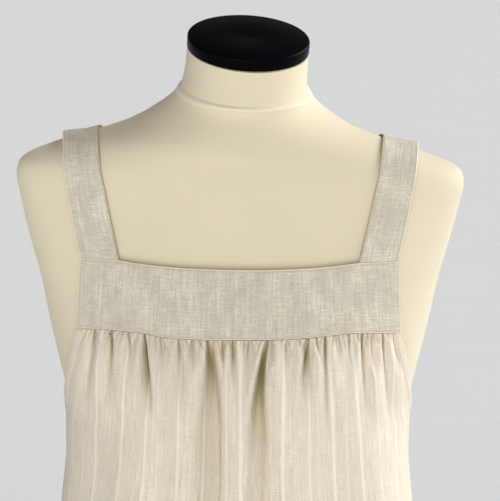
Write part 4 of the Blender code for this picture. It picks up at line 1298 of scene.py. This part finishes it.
def yoke_points(faces, across, up):
    """(middle of the wall, outward) for shares across, from -1 to 1, and up, from 0 to 1."""
    x = across * (YOKE_HALF_FOOT + (YOKE_HALF_TOP - YOKE_HALF_FOOT) * up)
    z = YOKE_FOOT_Z + (yoke_top(x) - YOKE_FOOT_Z) * up
    half_width, ring_front, ring_back, square = garment_at(z).T
    depth = ring_front if faces < 0 else ring_back
    sideways = np.abs(x / half_width)
    forward = (1.0 - sideways**square) ** (1.0 / square)
    out = np.stack([np.sign(x) * sideways ** (square - 1) / half_width,
                    faces * forward ** (square - 1) / depth], axis=1)
    out /= np.linalg.norm(out, axis=1)[:, None]
    uneven = YOKE_WAVE * (np.sin(x * 31 + z * 60) + np.sin(x * 74 - z * 45 + 2.0))
    place = np.stack([x, faces * depth * forward], axis=1)
    place = place + out * (uneven - DOUBLE_WALL)[:, None]
    level = z - dip(x, z)
    clear = pushed_clear(np.column_stack([place, level]), CLOTH_CLEARANCE)
    thick = np.column_stack([out, np.zeros(len(x))])
    return clear + thick * DOUBLE_WALL / 2, thick


def band_shell(name, middle, out, wall, profile, places, shade=None):
    """A doubled band this thick about its middle, rounded and grooved along its edges."""
    share, groove, edge = profile
    half = (wall / 2 * share).ravel()[:, None]
    outer = middle + out * (half - groove.ravel()[:, None])
    inner = middle - out * half
    shape = (*share.shape, 3)
    return cloth_shell(name, outer.reshape(shape), inner.reshape(shape), places, plain_linen,
                       groove / GROOVE, edge, shade)


yoke_width = 2 * front.half_seam
yoke_height = YOKE_CORNER_Z - YOKE_FOOT_Z
yoke_across = edge_places(yoke_width, YOKE_STEP) / yoke_width * 2 - 1
yoke_up = edge_places(yoke_height, YOKE_STEP) / yoke_height
grid_across, grid_up = np.meshgrid(yoke_across, yoke_up[::-1])
from_side = (1.0 - np.abs(grid_across)) * yoke_width / 2
from_foot = np.minimum(grid_up, 1.0 - grid_up) * yoke_height
profile = edge_profile(np.minimum(from_side, from_foot))
places = np.stack([grid_across * yoke_width / 2 + 0.5, grid_up * yoke_height], axis=-1)
for where, side in (("front", front), ("back", back)):
    middle, thick = yoke_points(side.faces, grid_across.ravel(), grid_up.ravel())
    made = band_shell(where + "_yoke_cloth", middle, thick, YOKE_THICK, profile, places)
    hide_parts(where + "_yoke")
    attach(made, "root")
    print(made.name, triangles(made), "triangles")

# %% [markdown]
# The neckline stands a little off the form, so the jersey just above it is darker. The
# room's soft light leaves hardly any shadow there, so the jersey's own material darkens
# with the height above the neckline's curve, which it works out as yoke_top does.

# %% The jersey above the neckline
NECKLINE_SHADE = 0.56
NECKLINE_SHADE_REACH = 0.010
NECKLINE_FADE = 3.0
NECKLINE_DARK = (0.22, 0.19, 0.06)

tree = jersey.node_tree
shader = tree.nodes["Principled BSDF"]
place = put(tree, "ShaderNodeSeparateXYZ", {"Vector": object_place(tree)})
sideways = calc(tree, "DIVIDE", calc(tree, "ABSOLUTE", place.outputs["X"]), NECKLINE_HALF)
curve = calc(tree, "POWER", calc(tree, "MINIMUM", sideways, 1.0), YOKE_SCOOP)
edge_height = calc(tree, "MULTIPLY_ADD", curve, YOKE_CORNER_Z - YOKE_TOP_Z, YOKE_TOP_Z)
above = calc(tree, "SUBTRACT", place.outputs["Z"], edge_height)
near = calc(tree, "POWER", ranged(tree, above, 0.0, NECKLINE_SHADE_REACH, 1.0, 0.0), NECKLINE_FADE)
between = calc(tree, "MULTIPLY", calc(tree, "LESS_THAN", sideways, 1.0), NECKLINE_SHADE)
plain_tone = shader.inputs["Base Color"].links[0].from_socket
painted(tree, shader, calc(tree, "MULTIPLY", near, between), plain_tone, NECKLINE_DARK)
print("jersey darkened up to %.0f mm above the neckline" % (NECKLINE_SHADE_REACH / MM))

# %% [markdown]
# A strap is a doubled band too, and runs from yoke to yoke over the shoulder. It can't be
# wrapped onto the form with a Shrinkwrap modifier, because the cloth has a thickness and
# stands off at its outer edge. Instead rays fan out from a line inside the shoulder, from
# the front yoke's corner over the top to the back one's. Where a ray leaves the form, the
# strap lies just above it.

# %% Straps
STRAP_PIVOT_Y = 0.0080
STRAP_OUTER_LIFT = 0.0045
STRAP_REST_GAP = 0.0011
STRAP_TURNS = 220
STRAP_STEP = 0.0019
STRAP_THICK = STRAP_WALL * 0.95
UNDER_EDGE_SHADOW = 0.8
UNDER_EDGE_SHADOW_REACH = 0.0009
StrapRow = namedtuple("StrapRow", "turn inner outer")
STRAP_EDGES = [
    StrapRow(0.000, 0.1349, 0.1685),
    StrapRow(0.430, 0.1280, 0.1620),
    StrapRow(0.550, 0.1234, 0.1583),
    StrapRow(0.755, 0.1170, 0.1530),
    StrapRow(1.000, 0.1096, 0.1466),
]
STRAP_WIDTH = STRAP_EDGES[-1].outer - STRAP_EDGES[-1].inner


def section_through(x, y, z):
    """The heights of the form's sections that pass through these points, before they tilted."""
    height = z
    for _ in range(4):
        y_centre, x_shift, tilt, roll = form_at(height)[:, 4:].T
        forward = (y - y_centre) * np.tan(np.radians(tilt))
        height = z - forward + (x - x_shift) * np.tan(np.radians(roll))
    return height


def form_radius(x, angle, pivot_z):
    """How far the form's surface is from the pivot line in these directions, in planes at x."""
    low, high = np.zeros(len(x)), np.full(len(x), 0.25)
    for _ in range(26):
        middle = (low + high) / 2
        y = STRAP_PIVOT_Y - middle * np.sin(angle)
        z = section_through(x, y, pivot_z + middle * np.cos(angle))
        half_width, form_front, form_back, square, y_centre, x_shift = form_at(z)[:, :6].T
        depth = np.where(y < y_centre, form_front, form_back)
        sideways, forward = np.abs((x - x_shift) / half_width), np.abs((y - y_centre) / depth)
        inside = (sideways**square + forward**square < 1.0) & (z < NECK_TOP_Z)
        low = np.where(inside, middle, low)
        high = np.where(inside, high, middle)
    return high


def strap_points(hand, angle, across):
    """(middle of the wall, outward) for angles over the shoulder and shares across the strap."""
    pivot_z = YOKE_CORNER_Z + SEAM_GAP
    over_top = np.abs(angle) / (math.pi / 2)
    near, far = smooth_columns([row.turn for row in STRAP_EDGES],
                               [row[1:] for row in STRAP_EDGES], over_top).T
    x = near + (far - near) * across
    radius = form_radius(hand * x, angle, pivot_z)
    lift = STRAP_OUTER_LIFT * np.maximum(0.0, 1.6 * across - 0.6) * (1 - over_top**2)
    reach = radius + STRAP_REST_GAP + 0.0012 * over_top**2 + lift + STRAP_WALL / 2
    ray = np.stack([np.zeros(len(x)), -np.sin(angle), np.cos(angle)], axis=1)
    start = np.stack([hand * x, np.full(len(x), STRAP_PIVOT_Y), np.full(len(x), pivot_z)], axis=1)
    return start + ray * reach[:, None], ray


strap_angle = np.linspace(math.pi / 2, -math.pi / 2, STRAP_TURNS + 1)
strap_line, _ = strap_points(1, strap_angle, np.full(len(strap_angle), 0.5))
strap_steps = np.linalg.norm(np.diff(strap_line, axis=0), axis=1)
strap_along = np.concatenate([[0.0], np.cumsum(strap_steps)])
strap_across = edge_places(STRAP_WIDTH, STRAP_STEP) / STRAP_WIDTH
grid_across, grid_angle = np.meshgrid(strap_across, strap_angle)
profile = edge_profile(np.minimum(grid_across, 1.0 - grid_across) * STRAP_WIDTH)
along = np.interp(grid_angle, strap_angle[::-1], strap_along[::-1])
# A painted shadow along each strap's inner edge, where it stands off the form, carried by the shade
# attribute.
under_edge_shadow = UNDER_EDGE_SHADOW * np.exp(-((grid_across * STRAP_WIDTH / UNDER_EDGE_SHADOW_REACH) ** 2))
for name, hand in (("strap_left", -1), ("strap_right", 1)):
    middle, ray = strap_points(hand, grid_angle.ravel(), grid_across.ravel())
    places = np.stack([grid_across * STRAP_WIDTH + 0.2 * hand, along], axis=-1)
    made = band_shell(name + "_cloth", middle, ray, STRAP_THICK, profile, places, under_edge_shadow)
    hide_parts(name)
    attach(made, "root")

# %% [markdown]
# Along each armhole the skirt's edge is turned in twice and stitched. From outside this
# shows as a band 8 mm wide that stands slightly proud of the sheet. It is a narrow strip
# laid on the panel, measured at right angles to the slanting edge, and its inner border
# is sunk into the cloth so that no gap shows under it.

# %% Armhole hems
ARMHOLE_RISE = 0.00055
ARMHOLE_ROWS = 110
ARMHOLE_TURN = 0.008
ARMHOLE_STITCH = 6.9 * MM
ARMHOLE_STEPS = np.array([0.0, 0.3, 0.9, 2.5, 4.5, 6.0, 6.9, 7.4, 7.9, 8.5]) * MM
ARMHOLE_RISES = np.array([0.1, 0.7, 1.0, 1.0, 1.0, 1.0, 0.55, 0.8, 0.35, -0.4]) * ARMHOLE_RISE


def armhole_line(side):
    """(arc, z, inward direction) down a panel's armhole edge, from the yoke to the side seam."""
    z = np.linspace(YOKE_FOOT_Z - 2 * SEAM_GAP, UNDERARM_Z + 0.0004, ARMHOLE_ROWS)
    arc = np.array([side.half_arc(height) for height in z])
    slope_arc, slope_z = np.gradient(arc), np.gradient(z)
    inward = np.stack([slope_z, -slope_arc], axis=1)
    inward /= np.linalg.norm(inward, axis=1)[:, None]
    near_top = np.exp(-((z[0] - z) / ARMHOLE_TURN) ** 2)[:, None]
    near_foot = np.exp(-((z - z[-1]) / ARMHOLE_TURN) ** 2)[:, None]
    inward = inward * (1 - near_top) + np.array([-1.0, 0.0]) * near_top
    inward = inward * (1 - near_foot) + np.array([0.0, -1.0]) * near_foot
    return arc, z, inward / np.linalg.norm(inward, axis=1)[:, None]


def along_armhole(panel, hand, line, step, lift):
    """Points on a panel this far in from its armhole edge, lifted off the cloth by lift."""
    return np.array([
        panel.on_cloth(z + down * step, hand * (arc + across * step), lift)
        for arc, z, (across, down) in zip(*line)
    ])


armhole_hems = {"front": [], "back": []}
armhole_stitch_lines = {"front": [], "back": []}
for where, panel in panels.items():
    line = armhole_line(panel.side)
    along = np.concatenate([[0.0], np.cumsum(np.hypot(np.diff(line[0]), np.diff(line[1])))])
    places = np.stack(np.meshgrid(0.6 + ARMHOLE_STEPS, along), axis=-1)
    for word, hand in (("left", -1), ("right", 1)):
        outer = [along_armhole(panel, hand, line, step, rise)
                 for step, rise in zip(ARMHOLE_STEPS, ARMHOLE_RISES)]
        inner = [along_armhole(panel, hand, line, step, -0.5 * ARMHOLE_RISE)
                 for step in ARMHOLE_STEPS]
        made = cloth_shell(where + "_armhole_hem_" + word, np.stack(outer, axis=1),
                           np.stack(inner, axis=1), places, striped_linen)
        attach(made, "root")
        armhole_hems[where].append(made)
        sewn = along_armhole(panel, hand, line, ARMHOLE_STITCH, 0.45 * ARMHOLE_RISE)
        armhole_stitch_lines[where].append(sewn)
print("armhole edge %.0f mm long on each panel" % (along[-1] / MM))

# %% [markdown]
# Stitches repeat along a path, so Geometry Nodes make them. The path is a mesh of bare
# edges. The tree turns it into curves, takes points one stitch apart, sets a small
# rounded stitch on each, turned along the path, and makes the result real geometry. Its
# sizes are named inputs, and its random sizes come from a seed. The same tree serves
# every seam. Each result is turned into a plain mesh, and the modifier goes.

# %% The stitch tree
STITCH_PITCH = 0.0027
STITCH_LENGTH = 0.0017
STITCH_WIDTH = 0.00062


def stitch_tree():
    """A node tree that sets stitches along a path of bare edges."""
    tree = bpy.data.node_groups.new("row_of_stitches", "GeometryNodeTree")
    tree.interface.new_socket("Path", in_out="INPUT", socket_type="NodeSocketGeometry")
    for socket, kind, value in (
        ("Pitch", "NodeSocketFloat", STITCH_PITCH), ("Length", "NodeSocketFloat", STITCH_LENGTH),
        ("Width", "NodeSocketFloat", STITCH_WIDTH), ("Seed", "NodeSocketInt", 3),
        ("Thread", "NodeSocketMaterial", None),
    ):
        made = tree.interface.new_socket(socket, in_out="INPUT", socket_type=kind)
        if value is not None:
            made.default_value = value
    tree.interface.new_socket("Stitches", in_out="OUTPUT", socket_type="NodeSocketGeometry")
    given, result = tree.nodes.new("NodeGroupInput"), tree.nodes.new("NodeGroupOutput")
    curve = put(tree, "GeometryNodeMeshToCurve", {"Mesh": given.outputs["Path"]})
    points = put(tree, "GeometryNodeCurveToPoints", {
        "Curve": curve.outputs[0], "Length": given.outputs["Pitch"],
    }, mode="LENGTH")
    along = put(tree, "FunctionNodeAlignRotationToVector", {"Vector": points.outputs["Tangent"]},
                axis="X")
    stitch = put(tree, "GeometryNodeMeshUVSphere", {"Segments": 6, "Rings": 4, "Radius": 0.5})
    vary = put(tree, "FunctionNodeRandomValue", {
        2: 0.85, 3: 1.1, "Seed": given.outputs["Seed"],
    }, data_type="FLOAT")
    size = put(tree, "ShaderNodeCombineXYZ", {
        "X": calc(tree, "MULTIPLY", given.outputs["Length"], vary.outputs[1]),
        "Y": given.outputs["Width"], "Z": given.outputs["Width"],
    })
    placed = put(tree, "GeometryNodeInstanceOnPoints", {
        "Points": points.outputs["Points"], "Instance": stitch.outputs["Mesh"],
        "Rotation": along.outputs[0], "Scale": size.outputs[0],
    })
    real = put(tree, "GeometryNodeRealizeInstances", {0: placed.outputs[0]})
    coloured = put(tree, "GeometryNodeSetMaterial", {
        "Geometry": real.outputs[0], "Material": given.outputs["Thread"],
    })
    tree.links.new(coloured.outputs[0], result.inputs[0])
    return tree


STITCHES = stitch_tree()
print("tree:", STITCHES.name)


def stitch_rows(name, lines, thread, seed):
    """Rows of stitches along lines of points, as one plain mesh."""
    vertices, edges = [], []
    for line in lines:
        first = len(vertices)
        vertices.extend(tuple(p) for p in line)
        edges.extend((i, i + 1) for i in range(first, len(vertices) - 1))
    mesh = bpy.data.meshes.new(name + "_path")
    mesh.from_pydata(vertices, edges, [])
    path = bpy.data.objects.new(name + "_path", mesh)
    scene.collection.objects.link(path)
    rows = path.modifiers.new("stitches", "NODES")
    rows.node_group = STITCHES
    wanted = {"Pitch": STITCH_PITCH, "Length": STITCH_LENGTH, "Width": STITCH_WIDTH,
              "Seed": seed, "Thread": thread}
    for socket in STITCHES.interface.items_tree:
        if socket.name in wanted:
            rows[socket.identifier] = wanted[socket.name]
    evaluated = path.evaluated_get(bpy.context.evaluated_depsgraph_get())
    sewn = bpy.data.meshes.new_from_object(evaluated)
    bpy.data.objects.remove(path, do_unlink=True)
    sewn.name = name
    sewn.shade_smooth()
    made = bpy.data.objects.new(name, sewn)
    scene.collection.objects.link(made)
    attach(made, "root")
    print(name, triangles(made), "triangles")
    return made


# %% [markdown]
# The thread is undyed cotton, a little lighter than the linen. On the yokes it runs all
# round, on the straps along both edges, and on the skirt along the armhole hems and the
# deep hem at the bottom. Each row is offset from its edge by the same measure as the
# groove that it lies in.

# %% Topstitching
STITCH_SINK = GROOVE * 0.8
HEM_STITCH_IN = 0.002
HEM_STITCH_END = 0.001
HEM_STITCH_LIFT = 0.0001

thread, tree, shader = new_finish("cotton_thread", 0.75)
painted(tree, shader, speckle(tree, 2600.0, 1.0), (0.56, 0.51, 0.41), (0.76, 0.71, 0.60))

in_across = 1.0 - STITCH_IN / (yoke_width / 2)
in_up = STITCH_IN / yoke_height
sweep = np.linspace(-in_across, in_across, 161)
climb = np.linspace(in_up, 1 - in_up, 41)
round_yoke = [
    (sweep, np.full(161, in_up)), (sweep, np.full(161, 1 - in_up)),
    (np.full(41, -in_across), climb), (np.full(41, in_across), climb),
]
for where, side in (("front", front), ("back", back)):
    lines = []
    for across, up in round_yoke:
        middle, thick = yoke_points(side.faces, across, up)
        lines.append(middle + thick * (YOKE_THICK / 2 - STITCH_SINK))
    stitch_rows(where + "_yoke_stitches", lines, thread, 5)
for name, hand in (("strap_left", -1), ("strap_right", 1)):
    lines = []
    for share in (STITCH_IN / STRAP_WIDTH, 1 - STITCH_IN / STRAP_WIDTH):
        middle, ray = strap_points(hand, strap_angle, np.full(len(strap_angle), share))
        lines.append(middle + ray * (STRAP_THICK / 2 - STITCH_SINK))
    stitch_rows(name + "_stitches", lines, thread, 7)
for where, panel in panels.items():
    z = HEM_Z + HEM_DEPTH - HEM_STITCH_IN
    reach = panel.side.half_arc(z) - HEM_STITCH_END
    hem_line = [panel.on_cloth(z, arc, HEM_STITCH_LIFT) for arc in np.linspace(-reach, reach, 300)]
    lines = [hem_line, *armhole_stitch_lines[where]]
    stitch_rows(where + "_hem_stitches", lines, thread, 9)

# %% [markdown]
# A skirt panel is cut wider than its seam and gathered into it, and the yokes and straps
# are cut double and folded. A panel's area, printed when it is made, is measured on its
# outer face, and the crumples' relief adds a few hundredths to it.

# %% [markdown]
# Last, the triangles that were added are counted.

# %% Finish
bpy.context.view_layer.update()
total = sum(triangles(piece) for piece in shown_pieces() if "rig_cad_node" not in piece)
print("triangles added:", total)
